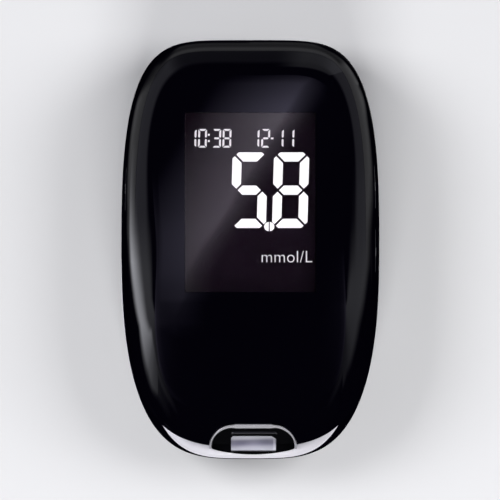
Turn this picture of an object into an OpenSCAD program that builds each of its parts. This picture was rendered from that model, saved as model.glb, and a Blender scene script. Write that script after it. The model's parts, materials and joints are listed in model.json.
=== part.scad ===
// Pocket blood glucose meter, lying on its back.
// X runs across the case, Y runs from the strip end to the top end and Z rises from the
// back to the display. The origin is under the middle of the case, on its resting face.

/* [Case] */
// Length of the case, from the strip end to the top end
case_l = 69; // [67:0.5:73]
// Width of the case at its widest
case_w = 42.5; // [41.5:0.5:46]
// Height of the case at the crown of the front cover
case_h = 20; // [19:0.25:22]
// Wall of the front cover
front_wall = 1.5; // [1.2:0.1:1.8]
// Wall of the back cover
back_wall = 1.6; // [1.3:0.1:1.8]
// Width of the rounded shoulder of the front cover
shoulder_w = 5.6; // [5:0.2:6.4]
// Height of the upright wall of the front cover along the sides
side_wall_h = 6.2; // [5:0.2:6.6]
// Height of that wall at the strip end
end_wall_h = 1.8; // [1.4:0.1:2.4]
// How far the front cover is set in from the back cover along the sides
side_step = 0.8; // [0.5:0.05:0.9]
// How far it is set in at the top end
top_step = 0.5; // [0.3:0.05:0.8]
// How far it is set in at the strip end
end_step = 2.1; // [1.8:0.1:2.3]
// Fall of the face from the middle of the case to its sides and ends
face_crown = 0.5; // [0.2:0.1:0.8]
// Height of the face above the joint at the strip end
end_face_h = 3.8; // [3.4:0.1:4.4]
// Distance from the middle at which the face starts to fall towards the strip end
fall_start = 8; // [6:0.5:10]
// Height of the upright rim of the back cover
rim_h = 1.7; // [1.6:0.1:2.2]
// Width of the rounded edge of the back cover
edge_w = 6.5; // [5:0.25:7]

/* [Display] */
// Width of the display window
window_w = 21.5; // [20:0.25:22]
// Length of the display window
window_l = 29.5; // [27:0.25:30]
// Distance from the top end to the display window
window_top = 12; // [11.5:0.25:12.5]
// Thickness of the window at its rim
window_t = 1.9; // [1.7:0.1:2.2]
// Width of the glued rim round the window
window_rim = 1.2; // [0.9:0.1:1.3]
// Thickness of the display glass
lcd_t = 2.4; // [2.1:0.1:2.6]
// Thickness of the backlight plate
light_t = 2.2; // [2:0.1:2.6]
// Wall of the display frame
frame_wall = 0.8; // [0.6:0.1:0.9]

/* [Strip port] */
// Middle of the strip port, to the right of the middle of the case
port_x = 0.45; // [-0.5:0.05:0.8]
// Width of the strip slot
slot_w = 7.4; // [6.8:0.1:8]
// Height of the strip slot
slot_h = 1.3; // [1:0.1:1.5]
// Distance from the strip end to the top of the arch round the port
arch_reach = 5.9; // [5.5:0.1:6.3]
// Half of the straight top of the arch
arch_flat = 3.5; // [3.2:0.1:4]
// Radius of the arch's corners
arch_r = 3; // [2.6:0.1:3.2]
// Half width of the arch at its feet
arch_foot = 7.25; // [7:0.05:7.6]
// Width of the silver band at the top of the arch
band_top = 0.74; // [0.6:0.02:0.9]
// Width of the silver band down the sides of the arch
band_side = 0.42; // [0.35:0.01:0.6]
// Width of the silver lip in front of the port
port_lip = 0.9; // [0.7:0.05:1.2]
// Distance from the strip end to the edge that the strip goes under
hood_reach = 4.3; // [4.1:0.05:4.6]

/* [Batteries] */
// Diameter of a coin cell
cell_d = 20; // [19.5:0.1:20.4]
// Thickness of a coin cell
cell_t = 3.2; // [2.8:0.1:3.6]
// Gap between the two coin cells
cell_gap = 0.6; // [0.4:0.1:1]
// Thickness of the battery door
door_t = 1.4; // [1.2:0.1:1.6]
// How far the door lies below the resting face
door_sink = 0.2; // [0.1:0.05:0.4]

/* [Board] */
// Thickness of the circuit board
board_t = 1; // [0.8:0.1:1.2]
// Room between the battery holder and the board
board_gap = 1.2; // [1:0.1:1.5]

/* [Buttons] */
// Length of each side button along the case
button_l = 7; // [6:0.25:8]
// Height of each side button
button_h = 2.4; // [2:0.1:2.5]
// Travel of a button
button_travel = 0.4; // [0.3:0.05:0.5]
// How far a button stands out of the front cover
button_proud = 0.15; // [0.1:0.05:0.3]
// Distance between the two arrow buttons
arrow_pitch = 10.5; // [9.5:0.25:12]
// Middle of the pair of arrow buttons, towards the top end
arrow_y = 5; // [3:0.25:7]
// Middle of the power button, towards the top end
power_y = 10; // [6:0.25:12]

/* [Code chip] */
// Room between the battery bay and the code chip's socket
chip_room = 0.7; // [0.5:0.1:1.5]
// Width of the code chip along the case
chip_w = 8; // [7:0.25:9]
// Thickness of the code chip
chip_t = 2.4; // [2:0.1:2.6]
// Middle of the code chip, from the middle of the case towards the strip end
chip_y = 13; // [12:0.25:14.5]

/* [Fasteners] */
// Diameter of a case screw's thread
screw_d = 2; // [1.6:0.1:2.2]
// Diameter of a case screw's head
head_d = 3.6; // [3.2:0.1:3.8]
// Diameter of a screw boss
boss_d = 5; // [4.6:0.1:5.2]

/* [Hidden] */

// Facets round the case, and steps up each rounded edge
SIDES = 84;
STEPS = 6;
// Fineness of turned parts
ROUND = 48;
// General clearance between pieces that fit together, and an overshoot for clean cuts
fit = 0.1;
cut = 1;

// The stack of pieces, from the back to the display
cell_z = door_sink + door_t + 0.5;
holder_z = cell_z + cell_t + 0.3;
holder_t = 1;
board_z = holder_z + holder_t + board_gap;
board_top = board_z + board_t;
part_z = board_top + 0.4;
strip_z = part_z + 1;

// Half sizes of the case, and the exponents of its outline: the sides and the ends, at the
// top end and at the strip end
half_w = case_w / 2;
half_l = case_l / 2;
case_curve = [5, 2.9, 3.6, 2.5];

// Distance from the middle to a closed curve (x / a) ^ p + (y / b) ^ q = 1, in direction t
function reach(t, a, b, p, q, low, high, k) =
    k == 0 ? (low + high) / 2
    : let (m = (low + high) / 2,
           f = pow(m * abs(cos(t)) / a, p) + pow(m * abs(sin(t)) / b, q))
      f > 1 ? reach(t, a, b, p, q, low, m, k - 1) : reach(t, a, b, p, q, m, high, k - 1);
function outline(t, a, b, curve) = sin(t) >= 0
    ? reach(t, a, b, curve[0], curve[1], 0, a + b, 18)
    : reach(t, a, b, curve[2], curve[3], 0, a + b, 18);

// How far the front cover is set in, in direction t: more towards the strip end
step_turn = [52, 76];
function ease(u) = let (v = min(1, max(0, u))) v * v * (3 - 2 * v);
function front_step(t) = let (lean = asin(abs(sin(t))))
    side_step + ((sin(t) < 0 ? end_step : top_step) - side_step)
        * ease((lean - step_turn[0]) / (step_turn[1] - step_turn[0]));

ANGLES = [for (i = [0 : SIDES - 1]) i * 360 / SIDES];
CASE_RIM = [for (t = ANGLES) outline(t, half_w, half_l, case_curve)];
FRONT_RIM = [for (i = [0 : SIDES - 1]) CASE_RIM[i] - front_step(ANGLES[i])];

function polar(t, r) = [r * cos(t), r * sin(t)];
function rim_points(rim, inset) = [for (i = [0 : SIDES - 1]) polar(ANGLES[i], rim[i] - inset)];

// Half width of the case and of the front cover at a distance y along the case
function case_x(y) = y >= 0
    ? half_w * pow(1 - pow(y / half_l, case_curve[1]), 1 / case_curve[0])
    : half_w * pow(1 - pow(-y / half_l, case_curve[3]), 1 / case_curve[2]);
function front_x(y) = case_x(y) - side_step;

// Height of the face, and of the top of the front cover's upright wall
end_fall = case_h - part_z - end_face_h;
function face_z(x, y) = case_h - face_crown * (pow(x / half_w, 2) + pow(y / half_l, 2))
    - end_fall * pow(max(0, -y - fall_start) / (half_l - end_step - fall_start), 2);
function wall_z(y) = part_z + side_wall_h
    - (side_wall_h - end_wall_h) * pow(max(0, -y - fall_start) / (half_l - fall_start), 2);

// One ring of the front cover's surface, at a share of the way round its shoulder, which
// leaves the upright wall at a blunt edge
edge_turn = 20;
function front_ring(inset, sink, share) = [for (i = [0 : SIDES - 1])
    let (turn = edge_turn + (90 - edge_turn) * share,
         r = FRONT_RIM[i] - inset - (shoulder_w - inset) * (1 - cos(turn) / cos(edge_turn)),
         p = polar(ANGLES[i], r), low = wall_z(p[1]), high = face_z(p[0], p[1]) - sink)
    [p[0], p[1], low + (high - low) * (sin(turn) - sin(edge_turn)) / (1 - sin(edge_turn))]];
// One ring of its face, at a share of the face's size
function face_ring(sink, share) = [for (i = [0 : SIDES - 1])
    let (p = polar(ANGLES[i], share * (FRONT_RIM[i] - shoulder_w)))
    [p[0], p[1], face_z(p[0], p[1]) - sink]];
// One ring of the back cover's surface, turned so far down its rounded edge
function back_ring(rim, inset, sink, turn) = [for (i = [0 : SIDES - 1])
    let (r = rim[i] - inset - (edge_w - inset) * (1 - cos(turn)))
    [r * cos(ANGLES[i]), r * sin(ANGLES[i]), sink + (part_z - rim_h - sink) * (1 - sin(turn))]];
function flat_ring(rim, inset, z) = [for (p = rim_points(rim, inset)) [p[0], p[1], z]];

// A solid through rings of equal count that run upwards, closed at the top by a point
module loft(rings, tip) {
    n = len(rings[0]);
    last = (len(rings) - 1) * n;
    points = [each [for (ring = rings) each ring], tip];
    walls = [for (k = [0 : len(rings) - 2], i = [0 : n - 1])
        let (a = k * n + i, b = k * n + (i + 1) % n)
        each [[a, b + n, b], [a, a + n, b + n]]];
    roof = [for (i = [0 : n - 1]) [last + (i + 1) % n, last + i, last + n]];
    polyhedron(points, [[for (i = [0 : n - 1]) i], each walls, each roof]);
}

// The solid under the front cover's surface, set in and sunk from its outside
module front_form(inset, sink, base) {
    loft([flat_ring(FRONT_RIM, inset, base),
        for (k = [0 : STEPS]) front_ring(inset, sink, k / STEPS),
        for (share = [0.66, 0.33]) face_ring(sink, share)],
        [0, 0, face_z(0, 0) - sink]);
}

// The solid above the back cover's surface, up to a height: a loft through the rings of the
// rounded edge, and an upright rim
module back_form(rim, inset, sink, top) {
    rim_z = part_z - rim_h;
    union() {
        loft([for (k = [STEPS : -1 : 0]) back_ring(rim, inset, sink, 90 * k / STEPS)],
            [0, 0, rim_z]);
        translate([0, 0, rim_z]) linear_extrude(top - rim_z) polygon(rim_points(rim, inset));
    }
}

// A plate with rounded corners
module rounded_plate(size, r, t) {
    linear_extrude(t) rounded_square(size, r);
}
module rounded_square(size, r) {
    union() {
        square([size[0] - 2 * r, size[1]], center = true);
        square([size[0], size[1] - 2 * r], center = true);
        for (x = [-1, 1], y = [-1, 1])
            translate([x * (size[0] / 2 - r), y * (size[1] / 2 - r)]) circle(r, $fn = ROUND);
    }
}
module box(x, y, z) {
    translate([x[0], y[0], z[0]]) cube([x[1] - x[0], y[1] - y[0], z[1] - z[0]]);
}

// ---- Places worked out from the sizes above ----

// Display stack, from the window downwards, and its frame
window_y = half_l - window_top - window_l / 2;
seat_z = case_h - window_t;
flange_t = 0.7;
lcd_gap = 0.2;
lcd_top = seat_z - flange_t - lcd_gap;
lcd_z = lcd_top - lcd_t;
light_z = lcd_z - light_t;
lcd_w = window_w + 1.8;
lcd_l = window_l + 3.6;
frame_w = lcd_w + 2 * frame_wall + 2 * fit;
frame_l = lcd_l + 2 * frame_wall + 2 * fit;
frame_ledge = 1.2;

// Strip port: the arch, the edge the strip goes under and the connector behind it
arch_y = arch_reach - half_l;
hood_y = hood_reach - half_l;
arch_lean = 53;
duct_y = arch_y + 2.2;
connector_l = 8;
guide_t = 0.8;

// Battery bay
door_ledge = 0.9;
bay_w = cell_d + 2 * fit + 0.4;
bay_l = 2 * cell_d + cell_gap + 2 * fit + 0.6;
bay_wall = door_ledge + 0.6;
bay_y = 0.5;
door_w = bay_w + 2 * door_ledge;
door_l = bay_l + 2 * door_ledge;
cell_y = (cell_d + cell_gap) / 2;

// Buttons and their switches
button_z = part_z + 0.25 + button_h / 2;
button_wall = 0.9;
flange_top = 0.6;
switch_l = 4.6;
switch_h = 3;
switch_gap = 1;
plunger_out = 0.7;
// Distance from the middle to the outside of a button's flange, which lies behind the wall
flange_side = 0.8;
function flange_x(y) = front_x(abs(y) + button_l / 2 + flange_side) - front_wall - 1.5 * fit;
// Depth of a switch, between the plunger of the furthest button and the display frame
switch_w = flange_x(arrow_y + arrow_pitch / 2) - button_wall - plunger_out - frame_w / 2 - switch_gap;

// Code chip and its socket
chip_z = board_z - 0.3 - chip_t;
chip_x = case_x(-chip_y);
socket_wall = 1;
chip_slot = 5;
chip_l = chip_x - bay_w / 2 - bay_wall - chip_room - socket_wall;

// Case screws, beyond the display frame and beyond the battery bay, and how far they stand in
// from the sides
screw_in = [10.2, 8.9];
screw_places = [for (x = [-1, 1])
    each [[x * (half_w - screw_in[0]), window_y + (frame_l + boss_d) / 2 + 2 * fit],
        [x * (half_w - screw_in[1]), bay_y - (bay_l + boss_d) / 2 - bay_wall - fit]]];

// Outline of the silver end trim, and the curve that it shares with the port's lip
trim_in = 0.15;
trim_side = 2.3;
trim_curve = [3.9, 2.5, 3.9, 2.5];
TRIM_RIM = [for (t = ANGLES) outline(t, half_w - trim_side, half_l - trim_in, trim_curve)];
trim_edge_h = 0.4;
trim_rise = 1.1;
trim_shoulder = 2.2;
trim_proud = 0.12;

// Half of an arch round the port, its top and its sides moved inwards
function arch_half(top, side) =
    let (turn = 90 - arch_lean,
         end = [arch_flat + (arch_r - side) * cos(turn), arch_y - arch_r + (arch_r - top) * sin(turn)],
         foot = arch_foot - side)
    concat([for (k = [0 : STEPS]) let (a = 90 - arch_lean * k / STEPS)
        [arch_flat + (arch_r - side) * cos(a), arch_y - arch_r + (arch_r - top) * sin(a)]],
        [[foot, end[1] - (foot - end[0]) * tan(arch_lean)], [foot, -half_l - cut]]);
module arch(top, side) {
    half = arch_half(top, side);
    translate([port_x, 0])
        polygon(concat(half, [for (k = [len(half) - 1 : -1 : 0]) [-half[k][0], half[k][1]]]));
}
// Plan of the port insert: inside the arch and behind the silver lip
module insert_plan(gap) {
    intersection() {
        arch(band_top + gap, band_side + gap);
        polygon(rim_points(TRIM_RIM, port_lip + gap));
    }
}

// ---- Front of the case ----

module screw_posts(d, low, high) {
    for (p = screw_places) translate([p[0], p[1], low]) cylinder(d = d, h = high - low, $fn = ROUND);
}

// Slots for the side buttons, open at the joint line
function button_y(side, k) = side < 0 ? power_y : arrow_y + (k - 0.5) * arrow_pitch;
module button_slot(side, y) {
    gap = fit + 0.02;
    box([min(side * 14, side * (half_w + cut)), max(side * 14, side * (half_w + cut))],
        [y - button_l / 2 - gap, y + button_l / 2 + gap],
        [part_z - cut, button_z + button_h / 2 + gap]);
}

infrared_w = 10;
infrared_h = 3;
module front_cover() {
    color("#0b0b10")
    difference() {
        front_form(0, 0, part_z);
        difference() {
            front_form(front_wall, front_wall, part_z - cut);
            translate([0, window_y, seat_z])
                linear_extrude(case_h - seat_z)
                    square([window_w + 4, window_l + 4], center = true);
            screw_posts(boss_d, part_z - 2 * cut, case_h);
        }
        translate([0, window_y, seat_z - cut])
            linear_extrude(case_h - seat_z + 2 * cut)
                square([window_w, window_l], center = true);
        translate([0, 0, part_z - cut])
            linear_extrude(case_h - part_z + 2 * cut) arch(-fit / 2, -fit / 2);
        button_slot(-1, power_y);
        for (k = [0, 1]) button_slot(1, button_y(1, k));
        box([-infrared_w / 2 - fit, infrared_w / 2 + fit], [half_l - 6, half_l + cut],
            [part_z - cut, part_z + infrared_h + fit]);
        screw_posts(screw_d, part_z - cut, part_z + 6);
    }
}

module display_window() {
    color("#3a3639")
    union() {
        intersection() {
            front_form(0, 0.02, part_z);
            translate([0, window_y, seat_z])
                linear_extrude(case_h)
                    square([window_w - fit, window_l - fit], center = true);
        }
        translate([0, window_y, seat_z - flange_t])
            linear_extrude(flange_t)
                square([window_w + 2 * window_rim, window_l + 2 * window_rim], center = true);
    }
}

module infrared_window() {
    color("#241a1f")
    translate([0, 0, part_z])
        linear_extrude(infrared_h)
            intersection() {
                difference() {
                    polygon(rim_points(FRONT_RIM, 0.1));
                    polygon(rim_points(FRONT_RIM, front_wall));
                }
                translate([-infrared_w / 2, 0]) square([infrared_w, half_l]);
            }
}

// ---- Strip port ----

module end_trim() {
    color("#cfc6cc")
    difference() {
        union() {
            difference() {
                intersection() {
                    loft([flat_ring(TRIM_RIM, 0, part_z),
                        for (k = [0 : STEPS]) let (a = 90 * k / STEPS)
                            flat_ring(TRIM_RIM, trim_shoulder * (1 - cos(a)),
                                part_z + trim_edge_h + trim_rise * sin(a))],
                        [0, 0, part_z + trim_edge_h + trim_rise]);
                    box([-half_w, half_w], [-half_l - cut, arch_y], [part_z - cut, case_h]);
                }
                translate([0, 0, part_z - cut])
                    linear_extrude(case_h)
                        difference() {
                            polygon(rim_points(FRONT_RIM, -fit / 2));
                            arch(0, 0);
                        }
                translate([0, 0, part_z - cut]) linear_extrude(case_h) insert_plan(0);
            }
            intersection() {
                front_form(0, -trim_proud, part_z);
                translate([0, 0, part_z])
                    linear_extrude(case_h)
                        difference() {
                            arch(0, 0);
                            arch(band_top, band_side);
                        }
            }
        }
        duct(fit);
    }
}

// The duct that takes the strip from the port to the connector
duct_wall = 1.4;
module duct(gap) {
    side = slot_w / 2 + duct_wall + gap;
    box([port_x - side, port_x + side], [arch_y - band_top - 0.4, duct_y],
        [part_z - gap, strip_z + slot_h + duct_wall / 2 + gap]);
}

insert_sink = 0.35;
guide_y = port_lip + trim_in + 0.1 - half_l;
module port_insert() {
    mouth = slot_w / 2 + fit;
    floor_z = strip_z - guide_t;
    color("#101014")
    difference() {
        union() {
            translate([0, 0, part_z]) linear_extrude(strip_z - part_z) insert_plan(fit / 2);
            intersection() {
                front_form(insert_sink, insert_sink, part_z);
                translate([0, 0, part_z]) linear_extrude(case_h) insert_plan(fit / 2);
            }
            duct(0);
        }
        box([port_x - mouth, port_x + mouth], [guide_y - fit, hood_y], [floor_z, case_h]);
        box([port_x - mouth, port_x + mouth], [hood_y - cut, duct_y + cut],
            [floor_z, strip_z + slot_h]);
    }
}

// The plate that the strip slides in on, with a rounded front edge
module strip_guide() {
    nose = 0.6;
    color("#a9a8bb")
    translate([port_x - slot_w / 2, 0, 0])
        rotate([90, 0, 90])
            linear_extrude(slot_w)
                polygon(concat(
                    [[duct_y, strip_z - guide_t], [duct_y, strip_z]],
                    [for (k = [0 : STEPS]) let (a = 90 * k / STEPS)
                        [guide_y + nose - nose * sin(a), strip_z - nose * (1 - cos(a))]],
                    [[guide_y, strip_z - guide_t]]));
}

connector_roof = 0.9;
connector_end = 1.5;
module strip_connector() {
    side = slot_w / 2 + duct_wall + 0.4;
    color("#1c1c1e")
    difference() {
        box([port_x - side, port_x + side], [duct_y + fit, duct_y + connector_l],
            [board_top, strip_z + slot_h + connector_roof]);
        box([port_x - slot_w / 2, port_x + slot_w / 2], [duct_y - cut, duct_y + connector_l - connector_end],
            [strip_z, strip_z + slot_h]);
        for (x = contact_x) box([x - 0.4, x + 0.4],
            [duct_y + connector_end, duct_y + connector_l + cut],
            [strip_z + slot_h - 0.5, strip_z + slot_h + 0.5]);
    }
}

contact_n = 6;
contact_x = [for (k = [0 : contact_n - 1]) port_x + (k - (contact_n - 1) / 2) * 1.2];
// Sprung contacts that press on the strip, with tails down to the board
module strip_contacts() {
    color("#c9a750")
    for (x = contact_x)
        translate([x - 0.25, 0, 0])
            rotate([90, 0, 90])
                linear_extrude(0.5)
                    polygon([
                        [duct_y + 2, strip_z + slot_h], [duct_y + 4, strip_z + 0.4],
                        [duct_y + 5, strip_z + slot_h - 0.1], [duct_y + connector_l + 0.8, strip_z + slot_h - 0.1],
                        [duct_y + connector_l + 0.8, board_top], [duct_y + connector_l + 1.1, board_top],
                        [duct_y + connector_l + 1.1, strip_z + slot_h + 0.2], [duct_y + 4.8, strip_z + slot_h + 0.2],
                        [duct_y + 4, strip_z + 0.7], [duct_y + 2.2, strip_z + slot_h + 0.2]]);
}

// ---- Display stack ----

module lcd_glass() {
    color("#4a4d48")
    translate([0, window_y, lcd_z])
        linear_extrude(lcd_t) square([lcd_w, lcd_l], center = true);
}

connector_t = 2;
module backlight_plate() {
    color("#e9eef2")
    box([-lcd_w / 2 + fit, lcd_w / 2 - fit],
        [window_y - lcd_l / 2 + connector_t + 0.4, window_y + lcd_l / 2 - fit], [light_z, lcd_z]);
}

module rubber_connector() {
    side = lcd_w / 2 - frame_ledge - fit;
    color("#d98f9c")
    box([-side, side],
        [window_y - lcd_l / 2 + 0.1, window_y - lcd_l / 2 + 0.1 + connector_t], [board_top, lcd_z]);
}

module display_frame() {
    color("#e8e8e4")
    translate([0, window_y, 0])
        difference() {
            translate([0, 0, board_top])
                linear_extrude(lcd_top - board_top) square([frame_w, frame_l], center = true);
            translate([0, 0, light_z])
                linear_extrude(case_h) square([lcd_w + 2 * fit, lcd_l + 2 * fit], center = true);
            translate([-lcd_w / 2 + frame_ledge, -lcd_l / 2 - fit, board_top - cut])
                cube([lcd_w - 2 * frame_ledge, lcd_l + fit - frame_ledge, case_h]);
            for (x = [-1, 1], y = [-0.5, 0, 0.5])
                translate([x * frame_w / 2, y * frame_l * 0.55, board_top - cut])
                    cube([3, 4, 3 + cut], center = true);
        }
}

// ---- Board and what is on it ----

module main_board() {
    color("#1d5b34")
    translate([0, 0, board_z])
        linear_extrude(board_t)
            difference() {
                polygon(rim_points(FRONT_RIM, back_wall + 0.5));
                for (p = screw_places) translate(p) circle(d = boss_d + 0.5, $fn = ROUND);
            }
}

// Chips as [middle across, middle from the window's middle, width, length, height]
chips = [[0, 4, 10, 10, 1.4], [5.5, -8, 6, 5, 1.2], [9.5, -22.5, 5, 4, 1.1]];
module board_chips() {
    color("#202124")
    for (c = chips)
        translate([c[0], window_y + c[1], board_top]) rounded_plate([c[2], c[3]], 0.3, c[4]);
}

crystal_d = 1.8;
crystal_l = 5.6;
module clock_crystal() {
    color("#c8ccd0")
    translate([frame_w / 2 - 2, window_y - frame_l / 2 - crystal_d / 2 - 0.8, board_top + crystal_d / 2])
        rotate([0, 90, 0]) cylinder(d = crystal_d, h = crystal_l, center = true, $fn = 32);
}

// Two rows of capacitors beside the largest chip
capacitor = [1.2, 0.8, 0.8];
capacitor_pitch = 1.8;
module capacitors() {
    color("#8c6b45")
    for (x = [0, 1], k = [-1 : 1])
        translate([chips[0][2] / 2 + 1.4 + x * capacitor_pitch - capacitor[0] / 2,
            window_y + chips[0][1] + k * capacitor_pitch, board_top])
            cube(capacitor);
}

// The buzzer fills the room under the backlight plate, less a gap
buzzer_d = 9;
buzzer_gap = 0.8;
buzzer_h = light_z - board_top - buzzer_gap;
buzzer_hole = 1.6;
module buzzer() {
    color("#1a1a1a")
    translate([-buzzer_d / 2 - 0.5, window_y - buzzer_d / 2 - 5, board_top])
        difference() {
            cylinder(d = buzzer_d, h = buzzer_h, $fn = ROUND);
            translate([0, 0, buzzer_h / 2]) cylinder(d = buzzer_hole, h = buzzer_h, $fn = ROUND);
        }
}

module infrared_leds() {
    color("#30343c")
    for (x = [-2.4, 2.4])
        translate([x, half_l - top_step - front_wall - 3, board_top]) {
            box([-1.3, 1.3], [-1, 1], [0, 2.4]);
            translate([0, 1, 1.3]) rotate([-90, 0, 0]) cylinder(d = 1.6, h = 0.8, $fn = 32);
        }
}

// ---- Buttons and switches ----

// The button's flange lies behind the wall, its cap stands in the slot
module side_button(side, y) {
    inner = flange_x(y) - button_wall;
    mirror([side < 0 ? 1 : 0, 0, 0]) {
        translate([0, 0, button_z - button_h / 2])
            linear_extrude(button_h)
                intersection() {
                    polygon(rim_points(FRONT_RIM, -button_proud));
                    translate([inner, y - button_l / 2]) square([half_w, button_l]);
                }
        box([inner, flange_x(y)],
            [y - button_l / 2 - flange_side + fit, y + button_l / 2 + flange_side - fit],
            [part_z + 1.5 * fit, button_z + button_h / 2 + flange_top]);
    }
}
module left_arrow_button() { color("#15151a") side_button(1, button_y(1, 0)); }
module right_arrow_button() { color("#15151a") side_button(1, button_y(1, 1)); }
module power_button() { color("#15151a") side_button(-1, power_y); }

plunger_w = 1.6;
plunger_h = 1.1;
module plunger(side, y) {
    tip = flange_x(y) - button_wall;
    mirror([side < 0 ? 1 : 0, 0, 0])
        box([tip - plunger_out - 0.5, tip], [y - plunger_w / 2, y + plunger_w / 2],
            [button_z - plunger_h / 2, button_z + plunger_h / 2]);
}
module left_arrow_plunger() { color("#7a2f2a") plunger(1, button_y(1, 0)); }
module right_arrow_plunger() { color("#7a2f2a") plunger(1, button_y(1, 1)); }
module power_plunger() { color("#7a2f2a") plunger(-1, power_y); }

module switch_body(side, y) {
    face = flange_x(y) - button_wall - plunger_out;
    gap = fit;
    mirror([side < 0 ? 1 : 0, 0, 0])
        difference() {
            box([face - switch_w, face], [y - switch_l / 2, y + switch_l / 2],
                [board_top, board_top + switch_h]);
            box([face - 0.5 - button_travel - 0.2, face + cut],
                [y - plunger_w / 2 - gap, y + plunger_w / 2 + gap],
                [button_z - plunger_h / 2 - gap, button_z + plunger_h / 2 + gap]);
        }
}
module switch_bodies() {
    color("#3b3d42") {
        switch_body(-1, power_y);
        for (k = [0, 1]) switch_body(1, button_y(1, k));
    }
}

// ---- Code chip ----

module code_chip() {
    color("#d9dadc")
    difference() {
        translate([0, 0, chip_z])
            linear_extrude(chip_t)
                intersection() {
                    polygon(rim_points(CASE_RIM, 0.45));
                    translate([chip_x - chip_l, -chip_y - chip_w / 2]) square([chip_l + 2, chip_w]);
                }
        // finger groove on the back of the chip
        translate([chip_x - 1.6, -chip_y, chip_z]) rotate([90, 0, 0])
            cylinder(d = 0.8, h = chip_w - 2, center = true, $fn = 32);
    }
}

module code_chip_socket() {
    inner = chip_x - chip_l;
    depth = 3.2;
    side = chip_w / 2;
    color("#2a2a2c")
    difference() {
        box([inner - socket_wall, inner + depth], [-chip_y - side - socket_wall, -chip_y + side + socket_wall],
            [chip_z - 0.8 * socket_wall, board_z]);
        box([inner - fit, inner + depth + cut], [-chip_y - side - fit, -chip_y + side + fit],
            [chip_z - fit, chip_z + chip_t + fit]);
    }
}

// ---- Battery bay ----

module coin_cell(y) {
    rim = 0.35;
    color("#c9cbcd")
    translate([0, y, cell_z])
        rotate_extrude($fn = 64)
            polygon([[0, 0], [cell_d / 2 - 1.1, 0], [cell_d / 2 - 1.1, rim], [cell_d / 2 - 0.7, rim],
                [cell_d / 2 - 0.5, rim + 0.2], [cell_d / 2, rim + 0.5], [cell_d / 2, cell_t - 0.3],
                [cell_d / 2 - 0.3, cell_t], [0, cell_t]]);
}
module top_coin_cell() { coin_cell(bay_y + cell_y); }
module bottom_coin_cell() { coin_cell(bay_y - cell_y); }

leg_reach = 6.5;
leaf_w = 3;
leaf_t = 0.2;
module battery_holder() {
    color("#2e2e31")
    difference() {
        union() {
            translate([0, bay_y, holder_z])
                linear_extrude(holder_t)
                    square([bay_w + 2 * bay_wall, bay_l + 2 * bay_wall], center = true);
            translate([0, bay_y, cell_z])
                linear_extrude(holder_z - cell_z)
                    square([bay_w - 2 * fit, bay_l - 2 * fit], center = true);
        }
        for (y = [-1, 1])
            translate([0, bay_y + y * cell_y, cell_z - cut])
                cylinder(d = bay_w + fit, h = holder_z - cell_z + cut, $fn = 96);
        for (y = [-1, 1])
            translate([0, bay_y + y * (cell_y + leg_reach), 0])
                box([-leaf_w / 2 - 2 * fit, leaf_w / 2 + 2 * fit], [-leaf_t, leaf_t] * 1.5,
                    [holder_z - cut, board_z]);
    }
}

// A leaf that bears on a cell, with a leg up through the holder to the board
module leaf_contact(y, way) {
    low = cell_z + cell_t + 0.05;
    leg = [leg_reach - leaf_t / 2, leg_reach + leaf_t / 2];
    translate([-leaf_w / 2, bay_y + y, 0])
        rotate([90, 0, 90])
            linear_extrude(leaf_w)
                polygon([for (p = [[-5, low], [-5, low + leaf_t], [leg[0], low + leaf_t],
                    [leg[0], board_z], [leg[1], board_z], [leg[1], low]]) [way * p[0], p[1]]]);
}
module positive_contact() { color("#d8c27a") leaf_contact(cell_y, 1); }
module negative_contact() { color("#d8c27a") leaf_contact(-cell_y, -1); }

// The strip on the inside of the door that joins the two cells
module cell_bridge() {
    z = door_sink + door_t;
    bump = cell_y + 1.2;
    end = bump + 2.5;
    color("#d8c27a")
    translate([-leaf_w / 2, bay_y, 0])
        rotate([90, 0, 90])
            linear_extrude(leaf_w)
                polygon([[-end, z], [-end, z + leaf_t],
                    each [for (y = [-bump, bump])
                        each [[y - 1, z + leaf_t], [y, z + 2 * leaf_t], [y + 1, z + leaf_t]]],
                    [end, z + leaf_t], [end, z]]);
}

// Hinge at the strip end of the door: a rounded edge with a peg at each end, and the
// latch tab at the other end
door_r = door_t / 2;
axis_y = bay_y - door_l / 2 + door_r;
axis_z = door_sink + door_r;
peg_d = 1;
peg_out = 1.2;
peg_play = 0.1;
latch_w = 9;
latch_l = 5;
latch_out = 1.2;
latch_slot = 0.5;
module battery_door() {
    color("#141418")
    difference() {
        union() {
            box([-door_w / 2, door_w / 2], [axis_y, bay_y + door_l / 2],
                [door_sink, door_sink + door_t]);
            translate([0, axis_y, axis_z]) rotate([0, 90, 0])
                cylinder(d = door_t, h = door_w, center = true, $fn = ROUND);
            translate([0, axis_y, axis_z]) rotate([0, 90, 0])
                cylinder(d = peg_d, h = door_w + 2 * peg_out, center = true, $fn = ROUND);
            // sprung latch tab
            box([-latch_w / 2, latch_w / 2], [bay_y + door_l / 2 - 1, bay_y + door_l / 2 + latch_out],
                [door_sink, door_sink + door_t]);
        }
        for (x = [-1, 1])
            box([x * (latch_w + latch_slot) / 2 - latch_slot / 2, x * (latch_w + latch_slot) / 2 + latch_slot / 2],
                [bay_y + door_l / 2 - latch_l, bay_y + door_l / 2 + cut],
                [door_sink - cut, door_sink + door_t + cut]);
        // grip ribs, as grooves
        for (k = [0 : 3])
            translate([0, bay_y + door_l / 2 - 0.4 - k * 1.1, door_sink])
                rotate([0, 90, 0]) cylinder(d = 0.5, h = latch_w - 2, center = true, $fn = 24);
    }
}

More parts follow.
